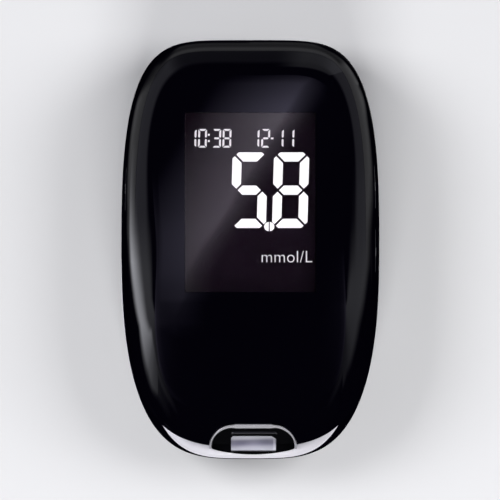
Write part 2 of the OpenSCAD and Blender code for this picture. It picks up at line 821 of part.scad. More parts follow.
trim_groove = 0.8;
trim_h = 1.1;
trim_z = part_z - rim_h / 2 - trim_h / 2;
side_trim_proud = 0.2;
trim_turn = [184, 237];
function case_r(t) = outline(t, half_w, half_l, case_curve);
module side_trim_plan(proud, gap) {
    n = 24;
    span = trim_turn[1] - trim_turn[0];
    arc = [for (k = [0 : n]) let (u = k / n) [trim_turn[0] + span * u, pow(sin(180 * u), 0.4)]];
    polygon(concat(
        [for (a = arc) polar(a[0], case_r(a[0]) - 0.02 + proud * a[1] + gap * 10)],
        [for (k = [n : -1 : 0]) polar(arc[k][0], case_r(arc[k][0]) - trim_groove - gap)]));
}
module side_trims() {
    color("#cfc6cc") {
        translate([0, 0, trim_z]) linear_extrude(trim_h) side_trim_plan(side_trim_proud, 0);
        mirror([1, 0, 0])
            translate([0, 0, trim_z]) linear_extrude(trim_h) side_trim_plan(0, 0);
    }
}

// Posts that the board rests on, clear of the code chip
post_in = 7.1;
post_x = half_w - post_in;
board_posts = [[post_x, 14], [-post_x, 14], [-post_x, -14], [post_x, -4.2]];
post_d = 2.4;
head_z = 1;
head_h = 1.2;
seat_h = head_z + head_h;
module back_cover() {
    door_gap = 0.05;
    color("#0d0d11")
    difference() {
        back_form(CASE_RIM, 0, 0, part_z);
        difference() {
            back_form(FRONT_RIM, back_wall, back_wall, part_z + cut);
            // wall round the battery bay, screw posts and board posts stay
            translate([0, bay_y, 0])
                linear_extrude(holder_z)
                    square([bay_w + 2 * bay_wall, bay_l + 2 * bay_wall], center = true);
            screw_posts(boss_d, 0, part_z);
            for (p = board_posts)
                translate([p[0], p[1], 0]) cylinder(d = post_d, h = board_z, $fn = 32);
        }
        translate([0, bay_y, -cut])
            linear_extrude(part_z) square([bay_w, bay_l], center = true);
        translate([0, bay_y, -cut])
            linear_extrude(door_sink + door_t + door_gap + cut)
                square([door_w + 2 * fit, door_l + 2 * fit], center = true);
        box([-latch_w / 2 - fit, latch_w / 2 + fit],
            [bay_y, bay_y + door_l / 2 + latch_out + fit], [-cut, door_sink + door_t + door_gap]);
        translate([0, axis_y, axis_z]) rotate([0, 90, 0])
            cylinder(d = peg_d + peg_play, h = door_w + 2 * (peg_out + fit), center = true, $fn = ROUND);
        screw_posts(screw_d + 0.4, -cut, part_z + cut);
        screw_posts(head_d + 2 * fit, -cut, seat_h);
        box([chip_x - chip_slot, chip_x + cut], [-chip_y - chip_w / 2 - fit, -chip_y + chip_w / 2 + fit],
            [chip_z - fit, chip_z + chip_t + fit]);
        for (side = [0, 1])
            mirror([side, 0, 0])
                translate([0, 0, trim_z - fit / 4])
                    linear_extrude(trim_h + fit / 2) side_trim_plan(0, fit / 2);
    }
}

module case_screws() {
    bite = 4;
    slot_t = 0.5;
    color("#9a9da1")
    for (p = screw_places)
        translate([p[0], p[1], 0]) {
            translate([0, 0, seat_h]) cylinder(d = screw_d, h = part_z + bite - seat_h, $fn = 32);
            translate([0, 0, head_z])
                difference() {
                    cylinder(d = head_d, h = head_h, $fn = ROUND);
                    for (a = [0, 90]) rotate([0, 0, a])
                        cube([slot_t, 0.6 * head_d, head_h], center = true);
                }
        }
}

front_cover();
display_window();
lcd_glass();
backlight_plate();
display_frame();
rubber_connector();
main_board();
board_chips();
clock_crystal();
capacitors();
switch_bodies();
left_arrow_plunger();
right_arrow_plunger();
power_plunger();
left_arrow_button();
right_arrow_button();
power_button();
buzzer();
infrared_leds();
infrared_window();
strip_connector();
strip_contacts();
port_insert();
strip_guide();
end_trim();
side_trims();
code_chip_socket();
code_chip();
battery_holder();
positive_contact();
negative_contact();
cell_bridge();
top_coin_cell();
bottom_coin_cell();
back_cover();
battery_door();
case_screws();
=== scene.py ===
"""Pocket blood glucose meter: the looks of the part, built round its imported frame.

Sizes are in millimetres, in the frame of the part's source, and meshes are written in metres.
X runs across the case, Y towards its top end and Z up through its face.
"""
import json
import math
from math import asin, cos, pi, radians, sin, tan

import bmesh
import bpy
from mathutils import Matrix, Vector


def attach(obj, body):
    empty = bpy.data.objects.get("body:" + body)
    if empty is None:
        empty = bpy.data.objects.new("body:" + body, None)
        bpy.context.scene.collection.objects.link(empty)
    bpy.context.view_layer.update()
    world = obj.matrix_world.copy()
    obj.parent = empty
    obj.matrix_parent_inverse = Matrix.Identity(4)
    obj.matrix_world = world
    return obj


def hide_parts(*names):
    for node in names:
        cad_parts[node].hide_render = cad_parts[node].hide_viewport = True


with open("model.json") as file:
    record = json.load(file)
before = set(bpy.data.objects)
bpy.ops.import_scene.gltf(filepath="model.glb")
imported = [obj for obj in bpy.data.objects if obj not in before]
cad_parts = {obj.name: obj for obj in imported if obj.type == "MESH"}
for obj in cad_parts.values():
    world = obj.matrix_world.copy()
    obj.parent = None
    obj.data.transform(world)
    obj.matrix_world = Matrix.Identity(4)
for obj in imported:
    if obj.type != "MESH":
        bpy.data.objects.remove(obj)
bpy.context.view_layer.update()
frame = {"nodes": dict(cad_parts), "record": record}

MM = 0.001

# ---- Sizes of the case, as in the part's source ----

HALF_W, HALF_L, CASE_H = 21.25, 34.5, 20.0
FRONT_WALL, BACK_WALL = 1.5, 1.6
SHOULDER_W, SIDE_WALL_H, END_WALL_H = 5.6, 6.2, 1.8
SIDE_STEP, TOP_STEP, END_STEP = 0.8, 0.5, 2.1
FACE_CROWN, FALL_START, RIM_H, EDGE_W = 0.5, 8.0, 1.7, 6.5
PART_Z = 9.2
END_FALL = 7.0
STRIP_Z = 10.2
SEAT_Z = 18.1
CASE_CURVE = (5.0, 2.9, 3.6, 2.5)
STEP_TURN = (52.0, 76.0)
EDGE_TURN = 20.0
FIT = 0.1

WINDOW_W, WINDOW_L, WINDOW_Y = 21.35, 29.3, 7.7
WINDOW_RIM, FLANGE_T, LCD_TOP = 1.2, 0.7, 17.2

PORT_X, SLOT_W, SLOT_H = 0.45, 7.4, 1.3
ARCH_Y, ARCH_FLAT, ARCH_FOOT, ARCH_LOW = -28.6, 3.5, 7.25, -32.4
BAND_TOP, BAND_SIDE, LIP_Y, LIP_BEND = 0.74, 0.42, -33.72, 0.0186
HOOD_Y, DUCT_Y, GUIDE_Y, GUIDE_T = -30.62, -26.4, -33.15, 0.8
GUIDE_X, RIB_Y, RIB_R = (-3.17, 4.22), -30.02, 0.22
INSERT_SINK = 0.35
TRIM_SIDE, TRIM_IN, TRIM_CURVE = 2.3, 0.15, (3.9, 2.5, 3.9, 2.5)
TRIM_EDGE_H, TRIM_RISE, TRIM_SHOULDER, TRIM_PROUD = 0.4, 1.1, 2.2, 0.12

# Fineness of the shells: points round the case, and rows up its shoulder and over its face
AROUND = 504
SHOULDER_ROWS = 26
FACE_ROWS = 22


# ---- Curves and surfaces of the case ----

def reach(t, a, b, curve):
    """Distance from the middle to (x / a) ^ p + (y / b) ^ q = 1 in direction t."""
    p, q = curve[:2] if sin(t) >= 0 else curve[2:]
    low, high = 0.0, a + b
    for _ in range(36):
        mid = (low + high) / 2
        if (mid * abs(cos(t)) / a) ** p + (mid * abs(sin(t)) / b) ** q > 1:
            high = mid
        else:
            low = mid
    return low


def ease(u):
    u = min(1.0, max(0.0, u))
    return u * u * (3 - 2 * u)


def front_step(t):
    """How far the front cover is set in from the back cover, in direction t."""
    lean = math.degrees(asin(abs(sin(t))))
    end = END_STEP if sin(t) < 0 else TOP_STEP
    share = ease((lean - STEP_TURN[0]) / (STEP_TURN[1] - STEP_TURN[0]))
    return SIDE_STEP + (end - SIDE_STEP) * share


TURNS = [2 * pi * i / AROUND for i in range(AROUND)]
CASE_RIM = [reach(t, HALF_W, HALF_L, CASE_CURVE) for t in TURNS]
FRONT_RIM = [r - front_step(t) for r, t in zip(CASE_RIM, TURNS)]
TRIM_RIM = [reach(t, HALF_W - TRIM_SIDE, HALF_L - TRIM_IN, TRIM_CURVE) for t in TURNS]


def face_z(x, y):
    """Height of the face, which is crowned and falls towards the strip end."""
    fall = max(0.0, -y - FALL_START) / (HALF_L - END_STEP - FALL_START)
    return CASE_H - FACE_CROWN * ((x / HALF_W) ** 2 + (y / HALF_L) ** 2) - END_FALL * fall ** 2


def wall_z(y):
    """Height of the top of the front cover's upright wall."""
    fall = max(0.0, -y - FALL_START) / (HALF_L - FALL_START)
    return PART_Z + SIDE_WALL_H - (SIDE_WALL_H - END_WALL_H) * fall ** 2


def shoulder_z(share_in, x, y, sink=0.0):
    """Height of the shoulder, from 0 at the wall to 1 at the face."""
    edge = radians(EDGE_TURN)
    turn = math.acos(max(-1.0, min(1.0, cos(edge) * (1 - share_in))))
    rise = (sin(turn) - sin(edge)) / (1 - sin(edge))
    low = wall_z(y)
    return low + (face_z(x, y) - sink - low) * rise


def front_z(x, y, rim=None, sink=0.0):
    """Height of the front cover's surface over a point inside its rim."""
    r = math.hypot(x, y)
    t = math.atan2(y, x)
    edge = reach(t, HALF_W, HALF_L, CASE_CURVE) - front_step(t) if rim is None else rim
    share = (edge - r) / SHOULDER_W
    if share >= 1:
        return face_z(x, y) - sink
    return shoulder_z(max(0.0, share), x, y, sink)


def ring(radii, heights):
    """One ring round the case, from a distance and a height for each direction."""
    if not callable(heights):
        level = heights
        heights = lambda x, y: level
    return [(r * cos(t), r * sin(t), heights(r * cos(t), r * sin(t)))
            for r, t in zip(radii, TURNS)]


def shrunk(radii, inset):
    return [r - inset for r in radii]


# ---- Mesh tools ----

def plain_object(name, points, faces, scale=MM):
    mesh = bpy.data.meshes.new(name)
    mesh.from_pydata([Vector(p) * scale for p in points], [], faces)
    mesh.validate()
    piece = bpy.data.objects.new(name, mesh)
    bpy.context.collection.objects.link(piece)
    return piece


def loft(name, rings, tip=None):
    """A solid through rings of equal count, from the lowest up, closed by a cap or a tip."""
    count = len(rings[0])
    points = [p for one in rings for p in one]
    faces = [tuple(reversed(range(count)))]
    for k in range(len(rings) - 1):
        for i in range(count):
            j = (i + 1) % count
            faces.append((k * count + i, k * count + j, (k + 1) * count + j, (k + 1) * count + i))
    last = (len(rings) - 1) * count
    if tip is None:
        faces.append(tuple(range(last, last + count)))
    else:
        points.append(tip)
        faces += [(last + i, last + (i + 1) % count, len(points) - 1) for i in range(count)]
    return plain_object(name, points, faces)


def prism(name, outline, low, high):
    return loft(name, [[(x, y, low) for x, y in outline], [(x, y, high) for x, y in outline]])


def block(name, x, y, z):
    return prism(name, [(x[0], y[0]), (x[1], y[0]), (x[1], y[1]), (x[0], y[1])], z[0], z[1])


def centred(name, middle, size, low, high):
    (cx, cy), (w, l) = middle, size
    return block(name, (cx - w / 2, cx + w / 2), (cy - l / 2, cy + l / 2), (low, high))


def post(name, x, y, d, low, high, sides=48):
    circle = [(x + d / 2 * cos(2 * pi * k / sides), y + d / 2 * sin(2 * pi * k / sides))
              for k in range(sides)]
    return prism(name, circle, low, high)


def crossbar(name, x0, x1, y, z, d, sides=40):
    """A round bar that runs across the case."""
    circle = [(y + d / 2 * cos(2 * pi * k / sides), z + d / 2 * sin(2 * pi * k / sides))
              for k in range(sides)]
    return loft(name, [[(x0, a, b) for a, b in circle], [(x1, a, b) for a, b in circle]])


def settle(piece):
    """Turns a piece and its live modifiers into a plain mesh."""
    bpy.context.view_layer.update()
    graph = bpy.context.evaluated_depsgraph_get()
    mesh = bpy.data.meshes.new_from_object(piece.evaluated_get(graph))
    piece.modifiers.clear()
    piece.data = mesh
    mesh.name = piece.name
    return piece


def carve(piece, *tools, how="DIFFERENCE"):
    """Cuts, joins or crosses a piece with other solids, which are used up."""
    for tool in tools:
        step = piece.modifiers.new("carve", "BOOLEAN")
        step.operation, step.solver, step.object = how, "EXACT", tool
    settle(piece)
    for tool in tools:
        bpy.data.objects.remove(tool)
    return piece


def tidy_faces(piece, sharp=32):
    """Smooth faces, with hard edges where the surface turns by more than an angle."""
    mesh = piece.data
    mesh.shade_smooth()
    mesh.set_sharp_from_angle(angle=radians(sharp))
    return piece


def outwards(piece):
    """Merges doubles and makes the faces of a closed solid point outwards."""
    work = bmesh.new()
    work.from_mesh(piece.data)
    bmesh.ops.remove_doubles(work, verts=work.verts, dist=1e-7)
    bmesh.ops.recalc_face_normals(work, faces=work.faces)
    work.to_mesh(piece.data)
    work.free()
    return piece


def dress(piece, finish, body, slot, *replaced):
    """Gives a finished piece its material and the body it moves with, and hides the solids that it
    replaces.
    """
    piece.data.materials.clear()
    piece.data.materials.append(finish)
    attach(piece, body)
    if replaced:
        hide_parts(*replaced)
    return piece


# ---- Finishes ----

def new_material(name):
    material = bpy.data.materials.new(name)
    material.use_nodes = True
    return material, material.node_tree.nodes["Principled BSDF"]


def surface_grain():
    """Fine moulding grain and slow unevenness, as masks from 0 to 1 and a height."""
    tree = bpy.data.node_groups.new("surface_grain", "ShaderNodeTree")
    for socket, default in (("Grain Scale", 3000.0), ("Patch Scale", 120.0), ("Patch Share", 0.5)):
        tree.interface.new_socket(socket, in_out="INPUT",
                                  socket_type="NodeSocketFloat").default_value = default
    for socket in ("Height", "Patches"):
        tree.interface.new_socket(socket, in_out="OUTPUT", socket_type="NodeSocketFloat")
    nodes, links = tree.nodes, tree.links
    start, end = nodes.new("NodeGroupInput"), nodes.new("NodeGroupOutput")
    place = nodes.new("ShaderNodeTexCoord")
    grain, patch = nodes.new("ShaderNodeTexNoise"), nodes.new("ShaderNodeTexNoise")
    grain.inputs["Detail"].default_value = 2.0
    patch.inputs["Detail"].default_value = 4.0
    blend = nodes.new("ShaderNodeMix")
    links.new(place.outputs["Object"], grain.inputs["Vector"])
    links.new(place.outputs["Object"], patch.inputs["Vector"])
    links.new(start.outputs["Grain Scale"], grain.inputs["Scale"])
    links.new(start.outputs["Patch Scale"], patch.inputs["Scale"])
    links.new(start.outputs["Patch Share"], blend.inputs["Factor"])
    links.new(grain.outputs["Fac"], blend.inputs["A"])
    links.new(patch.outputs["Fac"], blend.inputs["B"])
    links.new(grain.outputs["Fac"], end.inputs["Height"])
    links.new(blend.outputs["Result"], end.inputs["Patches"])
    return tree


GRAIN = surface_grain()


def finish(name, dark, light, rough=(0.4, 0.5), metallic=0.0, specular=0.5, grain=3000.0,
           patch=120.0, patches=0.5, bump=0.0, bump_size=0.00002, coat=None, **plain):
    """A moulded, plated or printed surface: two tones and two roughnesses, mixed by its grain."""
    material, shader = new_material(name)
    nodes, links = material.node_tree.nodes, material.node_tree.links
    group = nodes.new("ShaderNodeGroup")
    group.node_tree = GRAIN
    group.inputs["Grain Scale"].default_value = grain
    group.inputs["Patch Scale"].default_value = patch
    group.inputs["Patch Share"].default_value = patches
    tone = nodes.new("ShaderNodeMix")
    tone.data_type = "RGBA"
    tone.inputs["A"].default_value = (*dark, 1)
    tone.inputs["B"].default_value = (*light, 1)
    links.new(group.outputs["Patches"], tone.inputs["Factor"])
    links.new(tone.outputs["Result"], shader.inputs["Base Color"])
    spread = nodes.new("ShaderNodeMapRange")
    spread.inputs["To Min"].default_value, spread.inputs["To Max"].default_value = rough
    links.new(group.outputs["Patches"], spread.inputs["Value"])
    links.new(spread.outputs["Result"], shader.inputs["Roughness"])
    shader.inputs["Metallic"].default_value = metallic
    shader.inputs["Specular IOR Level"].default_value = specular
    if bump:
        height = nodes.new("ShaderNodeBump")
        height.inputs["Strength"].default_value = bump
        height.inputs["Distance"].default_value = bump_size
        links.new(group.outputs["Height"], height.inputs["Height"])
        links.new(height.outputs["Normal"], shader.inputs["Normal"])
    if coat:
        shader.inputs["Coat Weight"].default_value = coat[0]
        shader.inputs["Coat Roughness"].default_value = coat[1]
    for socket, value in plain.items():
        shader.inputs[socket.replace("_", " ")].default_value = value
    return material


def gloss_shell(name, mask):
    """Near-black gloss moulding, whose clear gloss is fed by the mesh's own mask."""
    material = finish(name, (0.0003, 0.0002, 0.001), (0.0007, 0.0005, 0.0017), rough=(0.3, 0.42),
                      specular=0.0, grain=5200.0, patch=60.0)
    shader = material.node_tree.nodes["Principled BSDF"]
    gloss = material.node_tree.nodes.new("ShaderNodeAttribute")
    gloss.attribute_name = mask
    material.node_tree.links.new(gloss.outputs["Fac"], shader.inputs["Coat Weight"])
    shader.inputs["Coat Roughness"].default_value = 0.04
    return material


def lined(material, pitch, share, colour, direction="X"):
    """Fine straight lines over a finish, for moulded layers or printed tracks."""
    nodes, links = material.node_tree.nodes, material.node_tree.links
    base = nodes["Principled BSDF"].inputs["Base Color"]
    place, wave, cut, mix = (nodes.new("ShaderNode" + kind)
                             for kind in ("TexCoord", "TexWave", "MapRange", "Mix"))
    wave.bands_direction = direction
    wave.inputs["Scale"].default_value = 2 * pi / (20 * pitch * MM)
    cut.inputs["From Min"].default_value, cut.inputs["From Max"].default_value = (1 - share,
                                                                                  1.08 - share)
    mix.data_type = "RGBA"
    mix.inputs["B"].default_value = (*colour, 1)
    links.new(place.outputs["Object"], wave.inputs["Vector"])
    links.new(wave.outputs["Fac"], cut.inputs["Value"])
    links.new(cut.outputs["Result"], mix.inputs["Factor"])
    links.new(base.links[0].from_socket, mix.inputs["A"])
    links.new(mix.outputs["Result"], base)
    return material


def smoked_glass():
    """Smoked clear plastic of the display window."""
    material, shader = new_material("smoked_window")
    shader.inputs["Base Color"].default_value = (0.62, 0.6, 0.62, 1)
    shader.inputs["Roughness"].default_value = 0.03
    shader.inputs["IOR"].default_value = 1.49
    shader.inputs["Transmission Weight"].default_value = 1.0
    shader.inputs["Specular Tint"].default_value = (1.0, 0.97, 0.8, 1)
    return material


def lit_white(name, strength):
    material, shader = new_material(name)
    shader.inputs["Base Color"].default_value = (0.8, 0.8, 0.8, 1)
    shader.inputs["Roughness"].default_value = 0.6
    shader.inputs["Emission Color"].default_value = (1.0, 0.99, 1.0, 1)
    shader.inputs["Emission Strength"].default_value = strength
    return material


FINISH = {
    "black_shell": gloss_shell("black_shell", "gloss"),
    "smoked_window": smoked_glass(),
    "lcd": finish("lcd", (0.028, 0.018, 0.0305), (0.0345, 0.022, 0.037), rough=(0.12, 0.16),
                  specular=0.35),
    "light_plate": finish("light_plate", (0.75, 0.78, 0.8), (0.82, 0.84, 0.86), rough=(0.35, 0.45)),
    "white_plastic": finish("white_plastic", (0.72, 0.72, 0.69), (0.78, 0.78, 0.75), bump=0.2),
    "connector_rubber": lined(finish("connector_rubber", (0.62, 0.3, 0.36), (0.7, 0.36, 0.42),
                                     rough=(0.6, 0.7), bump=0.3), 0.3, 0.45, (0.02, 0.02, 0.022)),
    "circuit_board": lined(finish("circuit_board", (0.008, 0.08, 0.03), (0.015, 0.12, 0.05),
                                  rough=(0.3, 0.4), patch=900.0), 1.1, 0.14, (0.02, 0.17, 0.07),
                           "Y"),
    "chip_black": finish("chip_black", (0.012, 0.012, 0.013), (0.02, 0.02, 0.021), rough=(0.5, 0.6),
                         bump=0.4),
    "bright_steel": finish("bright_steel", (0.55, 0.56, 0.57), (0.65, 0.66, 0.67), rough=(0.2, 0.3),
                           metallic=1.0),
    "ceramic": finish("ceramic", (0.28, 0.17, 0.09), (0.36, 0.23, 0.13), rough=(0.5, 0.6)),
    "grey_plastic": finish("grey_plastic", (0.04, 0.042, 0.046), (0.055, 0.057, 0.06),
                           rough=(0.45, 0.55), bump=0.3),
    "plunger_red": finish("plunger_red", (0.2, 0.03, 0.025), (0.26, 0.04, 0.03), rough=(0.45, 0.5)),
    "button_black": finish("button_black", (0.004, 0.004, 0.005), (0.008, 0.008, 0.01),
                           rough=(0.34, 0.42), specular=0.16, bump=0.2),
    "led_grey": finish("led_grey", (0.03, 0.035, 0.045), (0.04, 0.045, 0.055), rough=(0.1, 0.15)),
    "infrared_black": finish("infrared_black", (0.012, 0.005, 0.008), (0.016, 0.007, 0.01),
                             rough=(0.06, 0.1)),
    "gold_contact": finish("gold_contact", (0.75, 0.52, 0.2), (0.85, 0.62, 0.28), rough=(0.2, 0.28),
                           metallic=1.0),
    "port_black": finish("port_black", (0.0006, 0.0006, 0.0008), (0.0014, 0.0014, 0.0018),
                         rough=(0.3, 0.4), specular=0.05),
    "guide_grey": finish("guide_grey", (0.28, 0.28, 0.34), (0.36, 0.36, 0.42), rough=(0.22, 0.3),
                         metallic=0.6),
    "silver_trim": finish("silver_trim", (0.625, 0.615, 0.66), (0.685, 0.67, 0.715),
                          rough=(0.36, 0.42), metallic=0.35, grain=9000.0, bump=0.05),
    "chip_white": finish("chip_white", (0.62, 0.63, 0.64), (0.7, 0.71, 0.72), rough=(0.4, 0.5),
                         bump=0.2),
    "spring_steel": finish("spring_steel", (0.6, 0.52, 0.34), (0.7, 0.62, 0.42), rough=(0.22, 0.3),
                           metallic=1.0),
    "cell_steel": finish("cell_steel", (0.6, 0.61, 0.62), (0.68, 0.69, 0.7), rough=(0.24, 0.32),
                         metallic=1.0),
    "screw_steel": finish("screw_steel", (0.4, 0.41, 0.42), (0.5, 0.51, 0.52), rough=(0.25, 0.35),
                          metallic=1.0),
    # a darker copy of the silver trim for the bead: the same silver, with painted shade in its tone
    "silver_bead": finish("silver_bead", (0.36, 0.355, 0.38), (0.42, 0.415, 0.44),
                          rough=(0.28, 0.36), metallic=0.45, grain=9000.0, bump=0.05),
    "mark_grey": finish("mark_grey", (0.2, 0.2, 0.21), (0.25, 0.25, 0.26), rough=(0.4, 0.5)),
    "door_satin": finish("door_satin", (0.002, 0.002, 0.0024), (0.004, 0.004, 0.0047),
                         rough=(0.36, 0.46), specular=0.35, bump=0.25),
    # the port's black plastic made several times lighter: a painted highlight on top of the rib's
    # real clear gloss
    "shell_rib": finish("shell_rib", (0.006, 0.006, 0.008), (0.01, 0.01, 0.012), rough=(0.3, 0.4),
                        specular=0.1, coat=(1.0, 0.12)),
}
LIT, LIT_FINE, LIT_UNIT = (lit_white("lit_digits", 1.65), lit_white("lit_fine_digits", 1.02),
                           lit_white("lit_unit", 0.95))

# every solid that stays in sight takes its finish from its slot in the record
for subpart in frame["record"]["subparts"]:
    for place in frame["nodes"][subpart["node"]].material_slots:
        place.material = FINISH[subpart["material_slot"]]


# ---- The two covers ----

def arch_half(top, side, steps=26):
    """Right half of an arch round the port, its top and its sides moved inwards."""
    turns = [pi / 2 * (1 - k / steps) for k in range(steps)] + [0.0]
    leg, rise = ARCH_FOOT - ARCH_FLAT - side, ARCH_Y - ARCH_LOW - top
    return [(ARCH_FLAT + leg * abs(cos(a)) ** 1.05, ARCH_LOW + rise * abs(sin(a)) ** 1.05)
            for a in turns]


def lip_y(x):
    """Inner edge of the silver lip in front of the port."""
    return LIP_Y + LIP_BEND * (x - PORT_X) ** 2


def port_plan(gap):
    """The opening inside the arch, down to the lip."""
    half = arch_half(BAND_TOP + gap, BAND_SIDE + gap)
    foot = half[-1][0]
    half += [(foot, lip_y(PORT_X + foot) + gap + 0.28),
             (foot - 0.05, lip_y(PORT_X + foot) + gap + 0.12),
             (foot - 0.18, lip_y(PORT_X + foot) + gap + 0.02)]
    steps = 16
    floor = [(foot - 0.18) * (1 - 2 * k / steps) for k in range(1, steps)]
    return ([(PORT_X + x, y) for x, y in reversed(half)] + [(PORT_X - x, y) for x, y in half]
            + [(PORT_X - x, lip_y(PORT_X - x) + gap) for x in floor])


def arch_plan(top, side, low=-HALF_L - 1):
    half = arch_half(top, side) + [(ARCH_FOOT - side, low)]
    return ([(PORT_X + x, y) for x, y in reversed(half)]
            + [(PORT_X - x, y) for x, y in half])


def front_form(name, inset, sink, base, rows=SHOULDER_ROWS, face_rows=FACE_ROWS):
    """The solid under the front cover's surface, set in and sunk from its outside."""
    edge = radians(EDGE_TURN)
    rings = [ring(shrunk(FRONT_RIM, inset), base)]
    if base < PART_Z + 0.5:
        rings.append(ring(shrunk(FRONT_RIM, inset), lambda x, y: wall_z(y) - 0.25))
    for k in range(rows + 1):
        turn = edge + (pi / 2 - edge) * k / rows
        drawn_in = (SHOULDER_W - inset) * (1 - cos(turn) / cos(edge))
        rise = (sin(turn) - sin(edge)) / (1 - sin(edge))
        rings.append(ring(shrunk(FRONT_RIM, inset + drawn_in),
                          lambda x, y: wall_z(y) + (face_z(x, y) - sink - wall_z(y)) * rise))
    for k in range(1, face_rows):
        share = 1 - k / face_rows
        rings.append(ring([share * (r - SHOULDER_W) for r in FRONT_RIM],
                          lambda x, y: face_z(x, y) - sink))
    return loft(name, rings, (0, 0, face_z(0, 0) - sink))


def back_form(name, rim, inset, sink, top, rows=18):
    """The solid over the back cover's surface, up to a height."""
    rings = []
    for k in range(rows, -1, -1):
        turn = pi / 2 * k / rows
        drawn_in = inset + (EDGE_W - inset) * (1 - cos(turn))
        rings.append(ring(shrunk(rim, drawn_in), sink + (PART_Z - RIM_H - sink) * (1 - sin(turn))))
    if inset == 0:
        rings += [ring(shrunk(rim, drop), top - low) for drop,
                  low in ((0.0, 0.36), (0.04, 0.2), (0.14, 0.07))]
        inset = 0.32
    rings.append(ring(shrunk(rim, inset), top))
    return loft(name, rings)


# Strength of the clear gloss, and where the top end and its corners start
GLOSS = 0.56
TOP_FROM, CORNER_FROM = 27, 24


def paint_gloss(piece):
    """Clear gloss over the face, the shoulder and the upright walls. The ledge round the joint
    and the first of the shoulder stay satin, further in towards the two ends."""
    mesh = piece.data
    gloss = mesh.attributes.new("gloss", "FLOAT", "POINT")
    for i, vertex in enumerate(mesh.vertices):
        x, y, z = vertex.co / MM
        depth = reach(math.atan2(y, x), HALF_W, HALF_L, CASE_CURVE) - math.hypot(x, y)
        end, corner = ease((y - TOP_FROM) / 3), ease((y - CORNER_FROM) / 5) * ease((-x - 11.5) / 3)
        start = (0.45 + 0.06 * max(0.0, 8 - y) + (0.25 * ease((8 - x) / 4) - 0.1) * (1 - end) + 0.35
                 * corner)
        blend = 0.65 - 0.35 * end + 2.0 * corner
        start += (0.35 if x > 0 else 0.1) * ease((abs(x) - 10) / 3) * ease((y - CORNER_FROM) / 5)
        if x > 0 and y < TOP_FROM:
            start, blend = start + 0.2, max(blend, 0.9 + 0.4 * ease((14 - y) / 8))
            start += 0.4 * ease((26 - y) / 6) * ease((y + 4) / 8)
        elif x < 0:
            start += 0.3 * ease((y - 2) / 6) * (1 - 0.7 * ease((y - CORNER_FROM) / 4))
        shoulder = ease((depth - start) / blend)
        # the rim of the cover catches the light again beside the left end of the trim
        rim = 0.9 * math.exp(-((depth - front_step(math.atan2(y, x)) - 0.7) / 0.2) ** 2)
        rim *= ease((-x - 7) / 3) * ease((-y - 25) / 3)
        wall = ease((min(wall_z(y), 99 if z > PART_Z else PART_Z) - 0.15 - z) / 0.6)
        if PART_Z - 0.3 < z < PART_Z - 0.02:
            wall = max(wall, ease((x - 8) / 3) * ease((y - 18) / 5))
        gloss.data[i].value = (GLOSS * max(shoulder, rim, wall) if z > wall_z(y) - 0.1
                               else GLOSS * wall)


# Sizes of the battery bay, screws, chip and buttons, as in the part's source
BAY_W, BAY_L, BAY_Y, BAY_WALL = 20.6, 41.4, 0.5, 1.5
DOOR_W, DOOR_L, DOOR_SINK, DOOR_T = 22.4, 43.2, 0.2, 1.4
HOLDER_Z, BOARD_Z = 5.6, 7.8
LATCH_W, LATCH_OUT = 9.0, 1.2
AXIS_Y, AXIS_Z, PEG_D, PEG_OUT = -20.4, 0.9, 1.0, 1.2
SCREWS = [(s * 11.05, 27.9) for s in (-1, 1)] + [(s * 12.35, -24.3) for s in (-1, 1)]
SCREW_D, HEAD_D, BOSS_D, SEAT_H = 2.0, 3.6, 5.0, 2.2
POSTS = [(14.15, 14.0), (-14.15, 14.0), (-14.15, -14.0), (14.15, -4.2)]
POST_D = 2.4
CHIP_X, CHIP_Y, CHIP_W, CHIP_T, CHIP_Z, CHIP_SLOT = 20.6, 13.0, 8.0, 2.4, 5.1, 5.0
BUTTONS = {"left_arrow": (1, -0.25), "right_arrow": (1, 10.25), "power": (-1, 10.0)}
BUTTON_L, BUTTON_H, BUTTON_Z, BUTTON_PROUD = 7.0, 2.4, 10.65, 0.15
INFRARED_W, INFRARED_H = 10.0, 3.0


def front_cover():
    cover = front_form("front_shell", 0, 0, PART_Z)
    hollow = front_form("hollow", FRONT_WALL, FRONT_WALL, PART_Z - 1, rows=10, face_rows=6)
    kept = [centred("seat", (0, WINDOW_Y), (WINDOW_W + 4, WINDOW_L + 4), SEAT_Z, CASE_H + 1)]
    kept += [post("boss", x, y, BOSS_D, PART_Z - 2, CASE_H) for x, y in SCREWS]
    carve(hollow, *kept)
    tools = [hollow,
             centred("window", (0, WINDOW_Y), (WINDOW_W, WINDOW_L), SEAT_Z - 1, CASE_H + 1),
             prism("notch", arch_plan(-FIT / 2, -FIT / 2), PART_Z - 1, CASE_H + 1),
             centred("infrared", (0, HALF_L - 2.5), (INFRARED_W + 2 * FIT, 7), PART_Z - 1,
                     PART_Z + INFRARED_H + FIT)]
    gap = BUTTON_L / 2 + FIT + 0.02
    for side, y in BUTTONS.values():
        tools.append(block("slot", sorted((side * 14, side * (HALF_W + 1))), (y - gap, y + gap),
                           (PART_Z - 1, BUTTON_Z + BUTTON_H / 2 + FIT)))
    tools += [post("bore", x, y, SCREW_D, PART_Z - 1, PART_Z + 6) for x, y in SCREWS]
    carve(cover, *tools)
    outwards(cover)
    tidy_faces(cover)
    paint_gloss(cover)
    return dress(cover, FINISH["black_shell"], "case", "black_shell", "front_cover")


def side_trim_plan(proud, gap):
    span, start, steps = radians(53), radians(184), 48
    arc = [(start + span * k / steps, max(0.0, sin(pi * k / steps)) ** 0.4)
           for k in range(steps + 1)]
    outer = [(reach(t, HALF_W, HALF_L, CASE_CURVE) - 0.02 + proud * s + gap * 10, t) for t,
             s in arc]
    inner = [(reach(t, HALF_W, HALF_L, CASE_CURVE) - 0.8 - gap, t) for t, s in reversed(arc)]
    return [(r * cos(t), r * sin(t)) for r, t in outer + inner]


def mirrored(outline):
    return [(-x, y) for x, y in reversed(outline)]


# Underside and height of the strips let into the sides
TRIM_Z, TRIM_H = 7.8, 1.1


